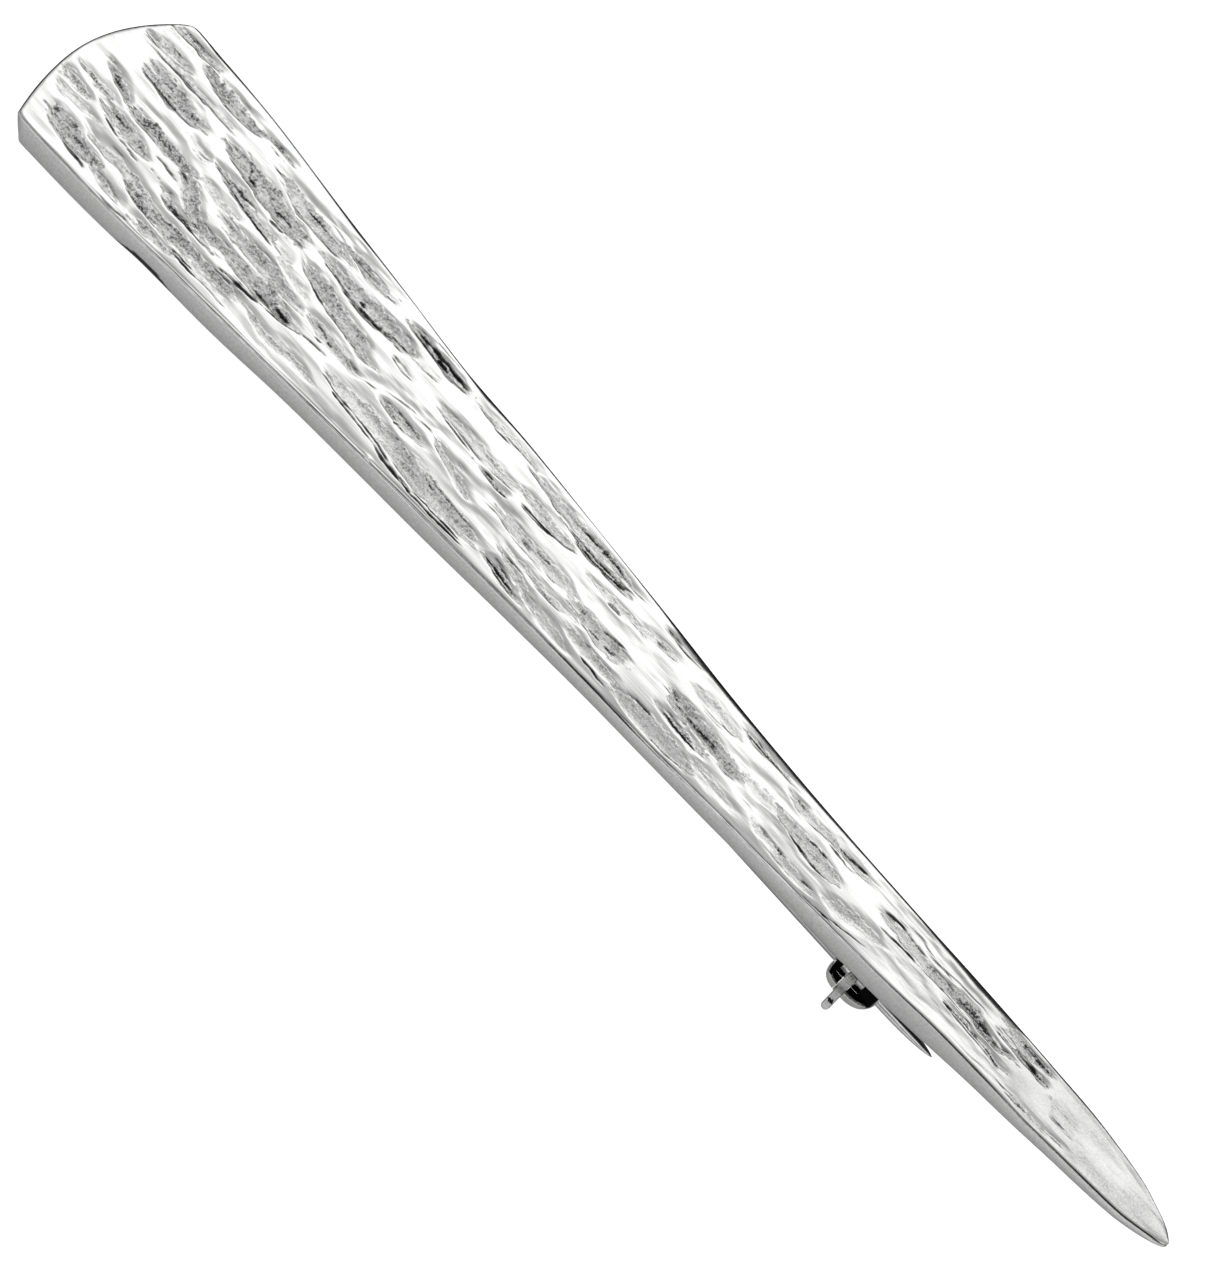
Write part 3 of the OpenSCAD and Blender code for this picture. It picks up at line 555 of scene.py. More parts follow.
def relief(x, y):
    """Depth under the smooth face, roughness, darkness, and depth of the creases."""
    wx = x + grains(x, y, (0.35, 1.9, 0.7, 3))
    wy = y + grains(x, y, (0.2, 2.6, 0.9, 5), (0.09, 0.8, 0.4, 7), (0.07, 1.1, 0.22, 9))
    drop, hollow = hollows(x, y, wx, wy)
    for p in VALLEYS:
        u, w = frame_of(p, wx, wy)
        drop = drop + 1.7 * p[5] * np.exp(-(u * u + (w / p[4]) ** 2) * 1.2)

    # Tone of the floors: blots, streaks along the bar, fine strokes and specks
    blot_and_dimple_shade = grains(x, y, (0.5, 0.7, 0.35, 23), (0.5, 0.3, 0.22, 29))
    streak = grains(x, y, (0.6, 1.4, 0.11, 31), (0.4, 0.6, 0.09, 33))
    speck = grains(x, y, (1, 0.17, 0.13, 35))
    strokes = np.clip(1 - np.abs(noise(wx / 1.7, wy / 0.2, 71)) / 0.16, 0, 1)
    strokes = strokes * ease(0.2 + 1.2 * noise(x / 0.9, y / 0.5, 73))
    tone = np.clip(0.85 + 0.65 * blot_and_dimple_shade + 0.7 * streak + 0.8 * speck + 0.9 * strokes, 0, 2.6)
    wash = grains(x, y, (0.6, 3.2, 0.6, 37), (0.4, 1.3, 0.25, 39))
    dark = read(STRENGTH, x) * hollow * tone + 0.08 * ease(0.3 + wash) * (1 - hollow)
    creased, dark = creases(x, y, dark)

    # Slow waves of the whole face, and the grain of the floors
    flow = grains(x, y, (0.6, 4.5, 1.2, 17), (0.4, 2.4, 0.6, 19))
    drop = (drop - 0.075 * flow) * read(KEPT_DEPTH, x)
    grain = grains(x, y, (0.6, 0.34, 0.22, 11), (0.4, 0.17, 0.13, 13))
    drop = drop - hollow * (0.02 * grain + 0.03 * noise(x / 0.9, y / 0.35, 23) + 0.015 * streak)
    return drop, hollow, dark, creased


def face_of(x, y, v, low, high, from_end):
    """Height of the finished face, its roughness and its darkness."""
    edge_top = np.where(v < 0, outline(x, LOW_TOP), outline(x, HIGH_TOP))
    from_low = (1 + v) * (high - low) / 2
    from_high = (1 - v) * (high - low) / 2
    crown = read(CROWNS, x)
    z = crown - (crown - edge_top) * np.abs(v) ** 2.2
    high_round = 0.9 * read(HIGH_ROUND, x)
    end_round = 0.25 + 0.02 * np.clip(y, 0, 7)
    for away, r in ((from_low, LOW_ROUND), (from_high, high_round), (from_end, end_round)):
        q = np.clip(1 - away / r, 0, 1)
        z = z - 0.7 * r * (1 - np.sqrt(1 - 0.97 * q * q))
    drop, hollow, dark, creased = relief(x, y)
    near_edge = np.minimum(np.minimum(from_low, from_high), from_end)
    at_edge = np.clip(near_edge / 0.1, 0, 1)
    fade = np.clip(near_edge / 0.45, 0, 1) ** 1.2 * np.clip((LENGTH - x) / 2, 0, 1)
    # The lip: a small groove along the low edge, with a painted shade line in it
    lip = bell(from_low - 0.24, 0.045) * ease((x - 5) / 4) * ease((40 - x) / 6)
    bevel = read(BEVEL, x)
    turned = 0.06 * bevel * np.clip(1 - from_low / (bevel + 0.05), 0, 1) ** 1.3
    z = z - drop * fade - creased * at_edge - 0.03 * lip - turned
    z = z + 0.1 * bell(x - RAISED_X, 0.22) * bell(from_low - 0.2, 0.16)

    satin = 1 + grains(x, y, (0.22, 2.2, 0.9, 61), (0.06, 0.6, 0.3, 63))
    satin = read(SATIN, x) * satin
    line_width = read(HIGH_LINE, x, 2)
    # Painted shade: thin dark lines along the low edge, the high edge and the broad end
    low_shade_line = 2.2 * read(LOW_LINE, x) * bell(from_low - 0.05, 0.032)
    high_shade_line = 1.5 * read(HIGH_LINE, x) * (1 - ease((from_high / line_width - 0.9) / 0.8))
    end_shade_line = read(END_LINE, y) * (1 - ease((from_end - 0.05) / 0.07))
    darkenings = (dark * at_edge, satin, low_shade_line, high_shade_line, end_shade_line, 0.3 * lip)
    return z, np.maximum(hollow * fade, satin), np.max(darkenings, axis=0)


# Grid of the face: stations along the bar, closer at its ends and where the relief is fine, and
# strips across it, closer at its edges
STATION_GAP = np.array([
    (0, 0.025), (1, 0.065), (21, 0.065), (24, 0.072), (47, 0.075), (50, 0.1), (97, 0.1),
    (100, 0.03),
])
STRIPS = 172
FINE_STEPS = 20000

# The broad end: y of its foremost spot, how much it curves to either side of that, how far along
# the bar the curve is felt, and how far and over what length it slopes in toward the back
END_MID = -1.7
END_CURVE_HIGH = 0.0425
END_CURVE_LOW = 0.025
END_RUN = 9
END_SLOPE = 1.2
SLOPE_RUN = 3

steps = np.linspace(0, LENGTH, FINE_STEPS + 1)
density = 1 / read(STATION_GAP, (steps[1:] + steps[:-1]) / 2) * (LENGTH / FINE_STEPS)
count = np.concatenate([[0], np.cumsum(density)])
STATIONS = int(count[-1])
xs = np.interp(np.linspace(0, count[-1], STATIONS + 1), count, steps)
vs = 2 * np.arange(STRIPS + 1) / STRIPS - 1
vs = np.sign(vs) * (1 - (1 - np.abs(vs)) ** 1.2)
flat_x, across_v = np.meshgrid(xs, vs, indexing="ij")
low = outline(flat_x, LOW)
high = outline(flat_x, HIGH)
high = high + 0.36 * read(HIGH_ROUND, flat_x) * ease((flat_x - 5) / 6) * ease((98 - flat_x) / 4)
mid = (low + high) / 2
face_y = mid + across_v * (high - low) / 2

# The broad end is an arc, and it slopes in toward the back
curve = np.where(face_y > END_MID, END_CURVE_HIGH, END_CURVE_LOW)
arc = curve * (face_y - END_MID) ** 2
arc_slope = 2 * curve * (face_y - END_MID)
face_x = flat_x + arc * np.clip(1 - flat_x / END_RUN, 0, 1) ** 2
back_x = face_x + END_SLOPE * np.clip(1 - flat_x / SLOPE_RUN, 0, 1) ** 2
from_end = (face_x - arc) / np.sqrt(1 + arc_slope**2)
face_z, hollow, dark = face_of(face_x, face_y, across_v, low, high, from_end)
lengths, widths = STATIONS + 1, STRIPS + 1
ids = np.arange(lengths * widths).reshape(lengths, widths)
grid = np.stack([ids[:-1, :-1], ids[1:, :-1], ids[1:, 1:], ids[:-1, 1:]], -1)

# Walls: a loop round the face (low side, point, high side, broad end) goes down to the back in
# rows. Each row has its share of the way down and how far it is set in.
WALL_ROWS = (
    (0.04, -0.01), (0.1, -0.022), (0.25, -0.045), (0.42, -0.058), (0.6, -0.052), (0.72, -0.04),
    (0.78, -0.03), (0.83, -0.015), (0.88, 0.0), (0.92, 0.02), (0.96, 0.055), (0.985, 0.1),
    (1.0, 0.17),
)
SHADOW_WEDGE_X = 12.8
loop = np.concatenate([ids[:, 0], ids[-1, 1:], ids[-2::-1, -1], ids[0, -2:0:-1]])
face_points = np.stack([face_x, face_y, face_z], -1).reshape(-1, 3)
loop_x, loop_y, loop_z = face_points[loop].T
foot_x = back_x.reshape(-1)[loop]
foot_z = np.repeat(outline(xs, BACK)[:, None], widths, 1).reshape(-1)[loop]
from_mid = loop_y - mid.reshape(-1)[loop]

# Painted shadow: a black wedge low on the low side, near the broad end
painted_shadow_wedge = np.where(from_mid < 0, 0.36 * np.exp(-np.abs((loop_x - SHADOW_WEDGE_X) / 2.3) ** 2.5), 0)
points, walls, wall_shadow_wedge = [face_points], [], []
base, above = len(face_points), loop
for share, inset in WALL_ROWS:
    row_y = loop_y - np.sign(from_mid) * np.minimum(inset, np.abs(from_mid) * 0.5)
    row_x = loop_x + (foot_x - loop_x) * share
    row_z = loop_z + (foot_z - loop_z) * share
    points.append(np.stack([row_x, row_y, row_z], -1))
    # The lowest rows of the wall there carry the painted shadow
    wall_shadow_wedge.append(1.3 * ease((share - 1 + painted_shadow_wedge) / 0.05))
    row = base + np.arange(len(loop))
    walls.append(np.stack([row, np.roll(row, -1), np.roll(above, -1), above], -1))
    base, above = base + len(loop), row

# The back: strips from the low to the high side, following the rim at both ends
BACK_STRIPS = 8
rim = np.concatenate(points)
turn = lengths + STRIPS - 1
lows, highs = above[:lengths], above[turn:turn + lengths][::-1]
shares = np.linspace(0, 1, BACK_STRIPS + 1)[1:-1]
inner = [rim[lows] * (1 - s) + rim[highs] * s for s in shares]
inner_rows = [base + k * lengths + np.arange(lengths) for k in range(len(shares))]
back_rows = [lows] + inner_rows + [highs]
walls += [
    np.stack([a[1:], a[:-1], b[:-1], b[1:]], -1) for a, b in zip(back_rows[:-1], back_rows[1:])
]
broad_rim = np.concatenate([[above[0]], above[turn + lengths:][::-1], [highs[0]]])
point_rim = above[lengths - 1:lengths + STRIPS]


def fan(rim_ids, row_ids):
    """Triangles between a long rim and a short row with the same ends."""
    out, a, b = [], 0, 0
    last_a, last_b = len(rim_ids) - 1, len(row_ids) - 1
    while a < last_a or b < last_b:
        if b == last_b or (a < last_a and (a + 1) / last_a <= (b + 1) / last_b):
            out.append((rim_ids[a], rim_ids[a + 1], row_ids[b]))
            a += 1
        else:
            out.append((rim_ids[a], row_ids[b + 1], row_ids[b]))
            b += 1
    return [f for f in out if len(set(f)) == 3]


# Flat caps close the back at the broad end and at the point
caps = fan(broad_rim, [r[0] for r in back_rows])
caps += [f[::-1] for f in fan(point_rim, [r[-1] for r in back_rows])]
quads = [q.reshape(-1, 4) for q in [grid] + walls]
metres = place(*np.concatenate([rim] + inner).T)


def vertex_normals(verts, sets):
    """Normals of the whole bar, so that the seams between its pieces don't show."""
    total = np.zeros_like(verts)
    for faces in sets:
        a, b = verts[faces[:, 2]] - verts[faces[:, 0]], verts[faces[:, 3]] - verts[faces[:, 1]]
        normal = np.cross(a, b)
        for k in range(4):
            np.add.at(total, faces[:, k], normal)
    return total / np.maximum(np.linalg.norm(total, axis=1, keepdims=True), 1e-20)


normals = vertex_normals(metres / MM, quads)

# What the silver reads at each point: how rough, how dark (patina and painted shade), and whether
# it is a side or the back
looks = {key: np.zeros(len(metres)) for key in ("hollow", "dark", "flank")}
looks["hollow"][:hollow.size] = hollow.reshape(-1)
looks["dark"][:dark.size] = dark.reshape(-1)
looks["dark"][dark.size:len(rim)] = np.concatenate(wall_shadow_wedge)
looks["flank"][hollow.size:] = 1
looks["flank"][loop] = 0.3


def bar_piece(name, faces):
    faces = [tuple(int(v) for v in f) for f in faces]
    used = np.array(sorted({v for f in faces for v in f}))
    new = np.full(len(metres), -1)
    new[used] = np.arange(len(used))
    mesh = bpy.data.meshes.new(name)
    mesh.from_pydata(metres[used].tolist(), [], [tuple(int(new[v]) for v in f) for f in faces])
    for key, values in looks.items():
        data = mesh.attributes.new(key, "FLOAT", "POINT").data
        data.foreach_set("value", values[used].astype(np.float32))
    mesh.shade_smooth()
    mesh.normals_split_custom_set_from_vertices(normals[used].tolist())
    obj = link(name, mesh)
    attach(obj, "bar")
    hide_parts("body")
    return obj


# The face in three lengths, then the walls, the back and its caps
FACE_CUTS = (21.5, 47.5)
cuts = [0] + [int(np.searchsorted(xs, x)) for x in FACE_CUTS] + [STATIONS]
silver_pieces = [
    bar_piece("face_%d" % (k + 1), grid[cuts[k]:cuts[k + 1]].reshape(-1, 4)) for k in range(3)
]
silver_pieces.append(bar_piece("sides_and_back", [tuple(f) for q in quads[1:] for f in q] + caps))

# The fittings soldered to the back: the body's solid without its bar
SOLDER_LINE = BACK_Z - 0.06
MOUTH_FROM = -0.5
MOUTH_TO = 0.56
MOUTH_DROP = 0.19
MOUTH_HALF = 1.95
fit_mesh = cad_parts["body"].data.copy()
fit_mesh.name = "fittings"
bm = bmesh.new()
bm.from_mesh(fit_mesh)
gone = [f for f in bm.faces if f.calc_center_median().z > SOLDER_LINE * MM]
bmesh.ops.delete(bm, geom=gone, context="FACES")

# The catch's mouth opens a little lower than in the solid
for v in bm.verts:
    dx = v.co.x / MM - CATCH_X + LENGTH / 2
    dy = v.co.y / MM - STEM_Y - SHIFT_Y
    dz = v.co.z / MM - AXIS_Z
    angle, reach = math.atan2(dz, -dy), math.hypot(dy, dz)
    shell = (reach / BARREL_R) ** 2.9 + (abs(dx) / BARREL_HALF) ** 2.9
    if shell > 0.5 and MOUTH_FROM < angle < MOUTH_TO and abs(dx) < MOUTH_HALF:
        angle -= MOUTH_DROP * (angle - MOUTH_FROM)
        v.co.y = (STEM_Y + SHIFT_Y - reach * math.cos(angle)) * MM
        v.co.z = (AXIS_Z + reach * math.sin(angle)) * MM
bm.to_mesh(fit_mesh)
bm.free()
fittings = link("fittings", fit_mesh)
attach(fittings, "bar")
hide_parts("body")

# The lever's root: a bent strip from the top of the rotor out to the flat of the lever. Its section
# has cut corners; each corner has a side, a face, and 1 where it ends the flat of that face.
SECTION = (
    (-1, 1, 0), (-1, 1, 1), (1, 1, 1), (1, 1, 0), (1, -1, 0), (1, -1, 1), (-1, -1, 1), (-1, -1, 0),
)
CORNER = 0.04

# Its middle line round the rotor's axis: reach, and degrees up from the low side
ROOT_BENDS = (
    (0.72, 72), (0.86, 58), (1.02, 45), (1.18, 33), (1.36, 22), (1.55, 14), (1.75, 9.5),
    (1.95, 7.5), (2.2, 6.5),
)
ROOT_HALF_WIDTH = 0.33
ROOT_THICK = 0.14
ROOT_X = CATCH_X - 0.375


def strip(name, path, half_wide, thick, centre_x):
    verts = []
    for k, (y, z) in enumerate(path):
        ahead, behind = path[min(k + 1, len(path) - 1)], path[max(k - 1, 0)]
        run = Vector((ahead[0] - behind[0], ahead[1] - behind[1])).normalized()
        off = Vector((-run.y, run.x)) * thick / 2
        for side, face, flat in SECTION:
            x = centre_x + side * (half_wide - CORNER * flat)
            deep = face * (1.0 if flat else 0.5)
            verts.append(place(np.array(x), np.array(y + deep * off.x), np.array(z + deep * off.y)))
    n, last = len(SECTION), len(verts) - len(SECTION)
    faces = [
        (k + i, k + (i + 1) % n, k + n + (i + 1) % n, k + n + i)
        for k in range(0, last, n) for i in range(n)
    ]
    faces += [tuple(range(n - 1, -1, -1)), tuple(range(last, last + n))]
    mesh = bpy.data.meshes.new(name)
    mesh.from_pydata([v.tolist() for v in verts], [], faces)
    bm = bmesh.new()
    bm.from_mesh(mesh)
    bmesh.ops.recalc_face_normals(bm, faces=bm.faces)
    bm.to_mesh(mesh)
    bm.free()
    mesh.shade_smooth()
    obj = link(name, mesh)
    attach(obj, "rotor")
    return obj


root_path = [
    (STEM_Y - r * math.cos(math.radians(a)), r * math.sin(math.radians(a)) - STEM_DROP)
    for r, a in ROOT_BENDS
]
lever_root = strip("lever_root", root_path, ROOT_HALF_WIDTH, ROOT_THICK, ROOT_X)


class Shader:
    """Short calls for the nodes of one material or of the sky."""

    def __init__(self, tree):
        self.nodes, self.links = tree.nodes, tree.links

    def feed(self, socket, value):
        if hasattr(value, "node"):
            self.links.new(value, socket)
        else:
            socket.default_value = value

    def math(self, op, *values):
        node = self.nodes.new("ShaderNodeMath")
        node.operation = op
        for socket, value in zip(node.inputs, values):
            self.feed(socket, value)
        return node.outputs[0]

    def chain(self, op, first, *more):
        for value in more:
            first = self.math(op, first, value)
        return first

    def times(self, *values):
        return self.chain("MULTIPLY", *values)

    def plus(self, *values):
        return self.chain("ADD", *values)

    def squares(self, *values):
        return self.plus(*[self.times(v, v) for v in values])

    def size(self, value):
        return self.math("ABSOLUTE", value)

    def over(self, value, edge):
        return self.math("GREATER_THAN", value, edge)

    def under(self, value, edge):
        return self.math("LESS_THAN", value, edge)

    def span(self, value, lo, hi, a=0.0, b=1.0):
        """Eases from a to b while the value goes from lo to hi."""
        node = self.nodes.new("ShaderNodeMapRange")
        node.interpolation_type = "SMOOTHSTEP"
        keys = ("Value", "From Min", "From Max", "To Min", "To Max")
        for key, v in zip(keys, (value, lo, hi, a, b)):
            self.feed(node.inputs[key], v)
        return node.outputs["Result"]

    def blend(self, f, a, b):
        node = self.nodes.new("ShaderNodeMix")
        node.data_type = "RGBA" if isinstance(a, tuple) or isinstance(b, tuple) else "FLOAT"
        sockets = [s for s in node.inputs if s.enabled and s.name in ("Factor", "A", "B")]
        for socket, value in zip(sockets, (f, a, b)):
            self.feed(socket, value)
        return [s for s in node.outputs if s.enabled][0]

    def split(self, vector):
        node = self.nodes.new("ShaderNodeSeparateXYZ")
        self.links.new(vector, node.inputs[0])
        return node.outputs

    def geometry(self, name):
        return self.nodes.new("ShaderNodeNewGeometry").outputs[name]

    def attribute(self, name):
        node = self.nodes.new("ShaderNodeAttribute")
        node.attribute_name = name
        return node.outputs["Fac"]

    def millimetres(self, stretch=(1, 1, 1)):
        node = self.nodes.new("ShaderNodeMapping")
        node.inputs["Scale"].default_value = [s / MM for s in stretch]
        here = self.nodes.new("ShaderNodeTexCoord").outputs["Object"]
        self.links.new(here, node.inputs["Vector"])
        return node.outputs["Vector"]

    def spot(self, x, y, z):
        """Millimetres from a place on the bar, along each axis."""
        centre = place(np.array(x), np.array(y), np.array(z)) / MM
        parts = self.split(self.millimetres())
        return [self.math("SUBTRACT", parts[k], float(centre[k])) for k in range(3)]

    def noise(self, where, scale, detail=2.0, rough=0.5):
        node = self.nodes.new("ShaderNodeTexNoise")
        self.links.new(where, node.inputs["Vector"])
        node.inputs["Scale"].default_value = scale
        node.inputs["Detail"].default_value = detail
        node.inputs["Roughness"].default_value = rough
        return node.outputs["Fac"]

    def bump(self, height, distance):
        node = self.nodes.new("ShaderNodeBump")
        node.inputs["Distance"].default_value = distance
        self.links.new(height, node.inputs["Height"])
        return node.outputs["Normal"]

    def toward(self, direction):
        """How far the sky's direction points along another, from -1 to 1."""
        node = self.nodes.new("ShaderNodeVectorMath")
        node.operation = "DOT_PRODUCT"
        node.inputs[1].default_value = Vector(direction).normalized()
        way = self.nodes.new("ShaderNodeTexCoord").outputs["Generated"]
        self.links.new(way, node.inputs[0])
        return node.outputs["Value"]


def material(name, metallic=1.0):
    mat = bpy.data.materials.new(name)
    mat.use_nodes = True
    bsdf = mat.node_tree.nodes["Principled BSDF"]
    bsdf.inputs["Metallic"].default_value = metallic
    return mat, Shader(mat.node_tree), bsdf.inputs


def dress(objects, mat):
    for obj in objects:
        obj.data.materials.clear()
        obj.data.materials.append(mat)


def cast_silver():
    """Polished ridges, dark rough hollows, satin sides and a filed back."""
    mat, s, inputs = material("cast_silver")
    rough_at, dark_at, flank_at = (s.attribute(key) for key in ("hollow", "dark", "flank"))
    here = s.millimetres()

    # Tone of the face: the patina and the painted shade lines, broken up by specks
    specks = s.span(s.noise(here, 6.5, 2.0, 0.65), 0.35, 0.65, -0.75, 0.75)
    speckle = s.times(s.span(rough_at, 0.2, 0.42, 0.2, 1.0), s.span(dark_at, 0.8, 1.4, 1.0, 0.15))
    depth = s.times(dark_at, s.math("MULTIPLY_ADD", specks, speckle, 1.0))
    face_tone = s.math("EXPONENT", s.times(depth, s.math("MULTIPLY_ADD", depth, -1.4, -1.2)))

    # Tone of the sides and the back
    behind = s.span(s.split(s.geometry("Normal"))[2], -0.9, -0.6, 1.0, 0.0)
    filed = s.noise(s.millimetres((0.35, 7, 7)), 1.0, 3.0, 0.6)
    grit = s.span(s.noise(here, 6.0, 2.0, 0.6), 0.3, 0.7, 0.78, 0.93)
    cloud = s.span(s.noise(here, 0.3, 3.0, 0.6), 0.35, 0.7, 1.1, 0.7)
    stain = s.times(cloud, s.span(filed, 0.3, 0.7, 0.86, 1.08))
    flank_tone = s.times(grit, s.blend(behind, 1.0, stain))
    tone = s.times(face_tone, s.blend(flank_at, 1.0, flank_tone))
    s.feed(inputs["Base Color"], s.blend(tone, (0.015, 0.015, 0.015, 1), (0.935, 0.935, 0.93, 1)))

    sheen = s.span(s.noise(here, 0.35), 0.35, 0.65, 0.13, 0.2)
    face_rough = s.plus(s.times(rough_at, 0.3), sheen)
    flank_rough = s.blend(behind, 0.3, s.span(filed, 0.3, 0.7, 0.3, 0.42))
    s.feed(inputs["Roughness"], s.blend(flank_at, face_rough, flank_rough))

    bumps = s.times(s.noise(here, 6.5, 3.0, 0.65), s.span(rough_at, 0.12, 0.55, 0.02, 0.55))
    hair = s.times(s.noise(s.millimetres((0.25, 9, 9)), 1.0), 0.06)
    marks = s.times(filed, behind, 0.25)
    s.feed(inputs["Normal"], s.bump(s.plus(bumps, hair, marks), 0.00016))
    return mat


def fitting_silver():
    """Duller silver, with painted shade inside the barrel, and darker along the solder seams."""
    mat, s, inputs = material("fitting_silver")
    here = s.millimetres()
    dx, dy, dz = s.spot(CATCH_X, STEM_Y, -STEM_DROP)

    # Painted shade: deep inside the egg-shaped shell, and in its recess toward the point
    reach = s.math("SQRT", s.squares(dy, dz))
    power = s.math("SUBTRACT", 3.4, s.over(dx, 0.0))
    out = s.math("POWER", s.math("DIVIDE", reach, BARREL_R), power)
    shell = s.plus(out, s.math("POWER", s.math("DIVIDE", s.size(dx), BARREL_HALF), power))
    recess = s.times(
        s.span(reach, 1.12, 1.22, 1.0, 0.0), s.under(dy, -0.1), s.over(dz, -0.1),
        s.over(dx, 0.9), s.span(dx, 1.72, 1.8, 1.0, 0.0),
    )
    painted_shade_inside = s.math("MAXIMUM", s.span(shell, 0.74, 0.86, 1.0, 0.0), recess)

    ragged = s.span(s.noise(here, 1.5), 0.3, 0.7, -0.08, 0.08)
    seam = s.span(s.plus(s.spot(0, 0, 0)[2], ragged), -0.2, -0.08)
    cloud = s.span(s.noise(here, 1.1, 3.0, 0.6), 0.42, 0.75)
    fine = s.span(s.noise(here, 8.0, 2.0, 0.6), 0.3, 0.7, 0.9, 1.06)
    by_hinge = s.span(dx, -62.0, -55.0, 0.66, 1.0)
    wear_and_painted_shade = s.times(
        s.blend(cloud, 0.82, 0.6), fine, s.blend(seam, by_hinge, 0.45), s.blend(painted_shade_inside, 1.0, 0.01),
    )
    s.feed(inputs["Base Color"], s.blend(wear_and_painted_shade, (0.0, 0.0, 0.0, 1), (1.0, 1.0, 0.99, 1)))

    filed = s.noise(s.millimetres((0.5, 9, 9)), 1.0)
    rough = s.plus(s.blend(cloud, 0.2, 0.38), s.span(filed, 0.3, 0.7, -0.04, 0.06))
    s.feed(inputs["Roughness"], s.blend(painted_shade_inside, rough, 0.7))
    grain = s.plus(s.times(filed, 0.25), s.times(s.noise(here, 6.0, 3.0), 0.25))
    s.feed(inputs["Normal"], s.bump(grain, 0.00005))
    return mat


def pin_steel():
    """Drawn steel, with painted shade at the lever's borders, in its dimple, on the rotor inside
    the barrel and on the stem's ground point.
    """
    mat, s, inputs = material("pin_steel")
    here = s.millimetres()
    drawn = s.noise(s.millimetres((0.12, 8, 8)), 1.0, 3.0, 0.6)
    cloud = s.span(s.noise(here, 0.9, 3.0, 0.6), 0.5, 0.8)
    pits = s.span(s.noise(here, 5.0, 2.0, 0.7), 0.64, 0.74)
    x, dy, dz = s.spot(0, STEM_Y, -STEM_DROP)

    # Painted shade on the rotor inside the barrel, mottled
    barrel_shade = s.times(s.span(dy, -0.95, -0.8), s.over(x, 73.4), s.under(x, 76.6))
    mottle = s.span(s.noise(here, 3.0), 0.35, 0.65, 0.3, 0.75)

    # Painted shade along the lever's two long borders, and in its dimple
    middle = s.math("MULTIPLY_ADD", dy, -0.063, 74.72)
    aside = s.size(s.math("SUBTRACT", x, middle))
    border = s.times(s.span(aside, 0.21, 0.27), s.under(dy, -1.9), s.under(aside, 0.5))
    uneven = s.span(s.noise(here, 5.0), 0.3, 0.7, -0.03, 0.03)
    blot_and_dimple_shade = s.span(s.plus(s.squares(*s.spot(74.9, -3.15, -3.35)), uneven), 0.015, 0.045, 1.0, 0.0)

    # The stem: painted shade to both sides of the catch, and more painted shade past it on the side
    # away from the lever
    painted_shade = s.times(
        s.span(x, 73.2, 74.3, 0.5, 1.0), s.span(x, 75.9, 76.6, 1.0, 0.76),
        s.blend(barrel_shade, 1.0, mottle), s.blend(border, 1.0, 0.4), s.blend(blot_and_dimple_shade, 1.0, 0.03),
    )
    far_side = s.plus(s.times(dy, 0.819), s.times(dz, 0.574))
    top_shade = s.times(s.span(x, 76.9, 78.6), s.span(far_side, -0.06, 0.03))
    wear_and_painted_shade = s.times(
        s.blend(cloud, 0.94, 0.76), s.span(drawn, 0.3, 0.7, 0.9, 1.05),
        s.blend(top_shade, painted_shade, 0.06), s.blend(pits, 1.0, 0.72),
    )
    s.feed(inputs["Base Color"], s.blend(wear_and_painted_shade, (0.0, 0.0, 0.0, 1), (1.0, 1.0, 1.0, 1)))
    rough = s.plus(s.blend(cloud, 0.14, 0.26), s.span(drawn, 0.3, 0.7, -0.04, 0.05))
    s.feed(inputs["Roughness"], rough)
    grain = s.math("SUBTRACT", s.times(drawn, 0.4), s.times(pits, 0.12))
    s.feed(inputs["Normal"], s.bump(grain, 0.00004))
    return mat


dress(silver_pieces, cast_silver())
dress([fittings], fitting_silver())
steel_nodes = [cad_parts[name] for name in ("hinge_rivet", "pin_stem", "catch_rotor")]
dress(steel_nodes + [lever_root], pin_steel())

# Stage: a white floor that glows a little, so that it stays white
HALF_FLOOR = 4
corners = [(x * HALF_FLOOR, y * HALF_FLOOR, 0) for x, y in ((-1, -1), (1, -1), (1, 1), (-1, 1))]
floor_mesh = bpy.data.meshes.new("floor")
floor_mesh.from_pydata(corners, [], [(0, 1, 2, 3)])
floor = link("floor", floor_mesh)
mat, s, inputs = material("floor", metallic=0.0)
inputs["Base Color"].default_value = (0.8, 0.8, 0.8, 1)
inputs["Roughness"].default_value = 1.0
inputs["Specular IOR Level"].default_value = 0.0
inputs["Emission Color"].default_value = (1, 1, 1, 1)
inputs["Emission Strength"].default_value = 0.8

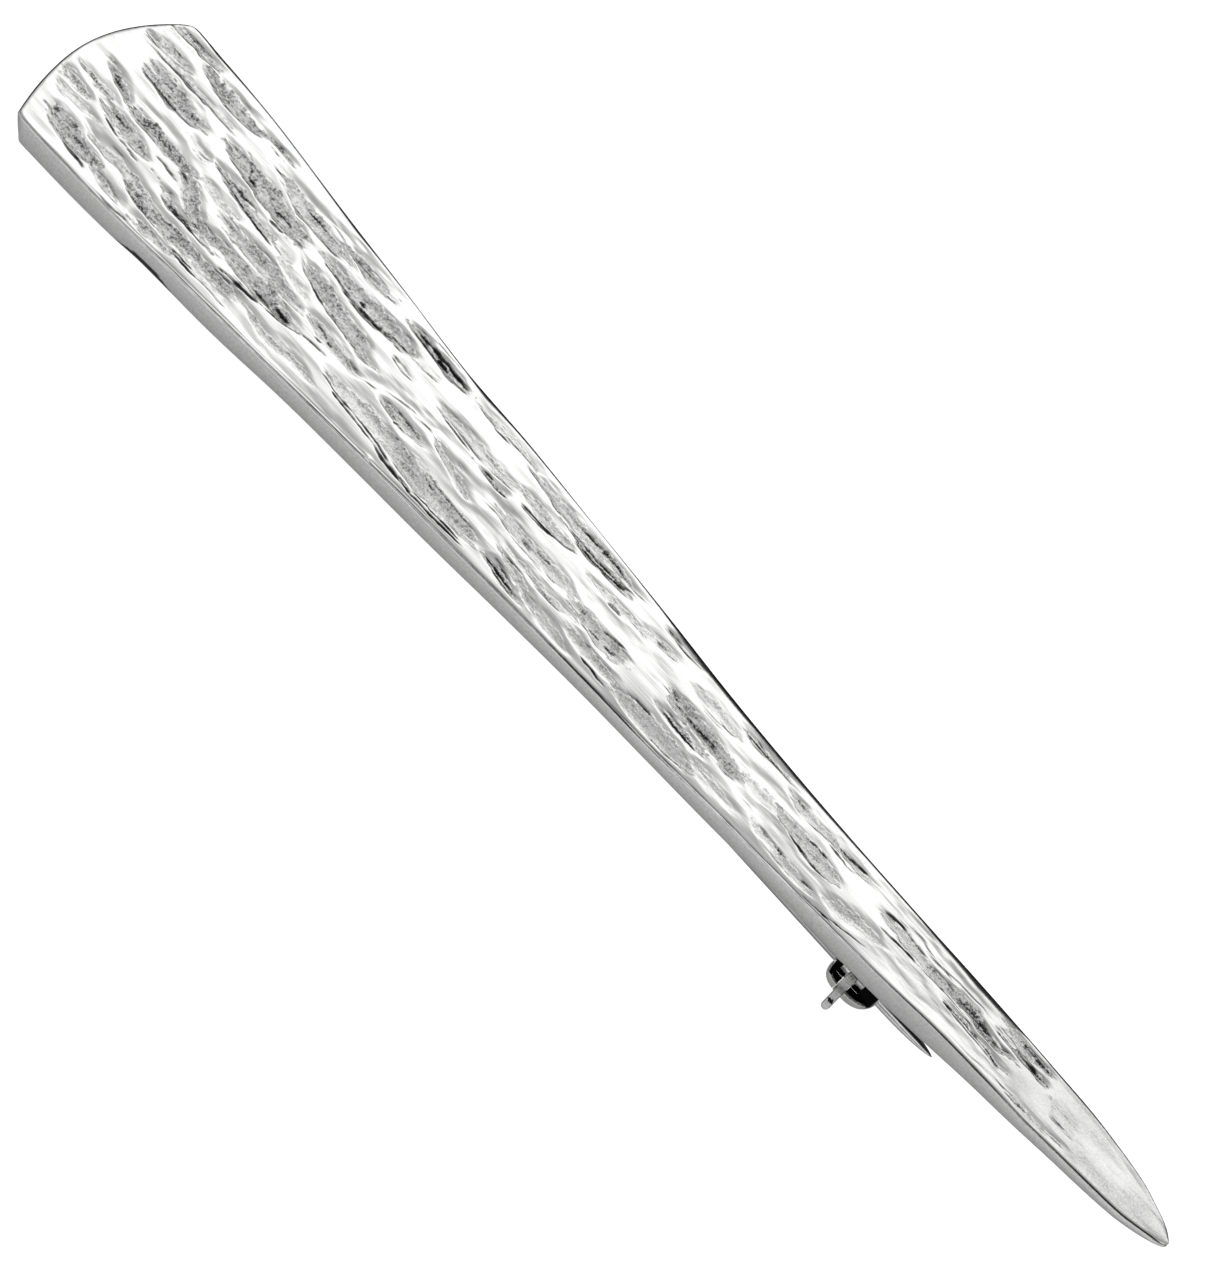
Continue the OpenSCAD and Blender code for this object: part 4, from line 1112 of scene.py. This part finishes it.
# Its underside is clear, so that the back of the pin can be looked at from below
either = s.nodes.new("ShaderNodeMixShader")
s.links.new(s.geometry("Backfacing"), either.inputs[0])
s.links.new(s.nodes["Principled BSDF"].outputs[0], either.inputs[1])
s.links.new(s.nodes.new("ShaderNodeBsdfTransparent").outputs[0], either.inputs[2])
s.links.new(either.outputs[0], s.nodes["Material Output"].inputs["Surface"])
floor_mesh.materials.append(mat)
floor.visible_glossy = False

# Sky: one broad soft light over the high side, dim all round, and darker along the horizon, most
# of all beyond the high side
world = bpy.context.scene.world or bpy.data.worlds.new("sky")
bpy.context.scene.world = world
world.use_nodes = True
s = Shader(world.node_tree)
up_down = s.toward((0, 0, 1))
to_high = s.toward((0, 1, 0))
to_low = s.toward((0, -1, 0))
lobe = s.toward((0, 0.695, 0.719))
lobe = s.math("EXPONENT", s.times(s.math("SUBTRACT", lobe, 1.0), 7.5))
sky = s.math("MULTIPLY_ADD", lobe, 0.88, 0.4)

# A bright strip above the low side, and dark spots beyond the high side and over the low side
bright = s.times(s.span(up_down, 0.2, 0.26), s.span(up_down, 0.45, 0.66, 1.0, 0.0))
sky = s.blend(s.times(bright, s.span(to_low, 0.3, 0.7)), sky, 1.15)
sky = s.blend(s.span(to_high, 0.9, 0.99), sky, 0.03)
sky = s.blend(s.span(s.toward((0, -0.5736, 0.8192)), 0.978, 0.992), sky, 0.05)

# What the metal mirrors from below, then the dark band along the horizon
below = s.plus(s.span(up_down, -0.97, -0.62, 0.33, 0.55), s.span(up_down, -0.6, -0.35, 0.0, 0.4))
below = s.blend(s.span(to_high, -0.3, 0.3), below, s.span(up_down, -0.95, -0.6, 0.35, 0.1))
sky = s.blend(s.span(up_down, -0.12, 0.02, 1.0, 0.0), sky, below)
band = s.times(s.span(up_down, -0.24, -0.14), s.span(up_down, 0.08, 0.16, 1.0, 0.0))
sky = s.blend(band, sky, s.span(to_high, -0.6, -0.1, 0.22, 0.02))
background = s.nodes["Background"].inputs
s.feed(background["Strength"], sky)
background["Color"].default_value = (1, 1, 1, 1)

bpy.context.scene.view_settings.view_transform = "Standard"
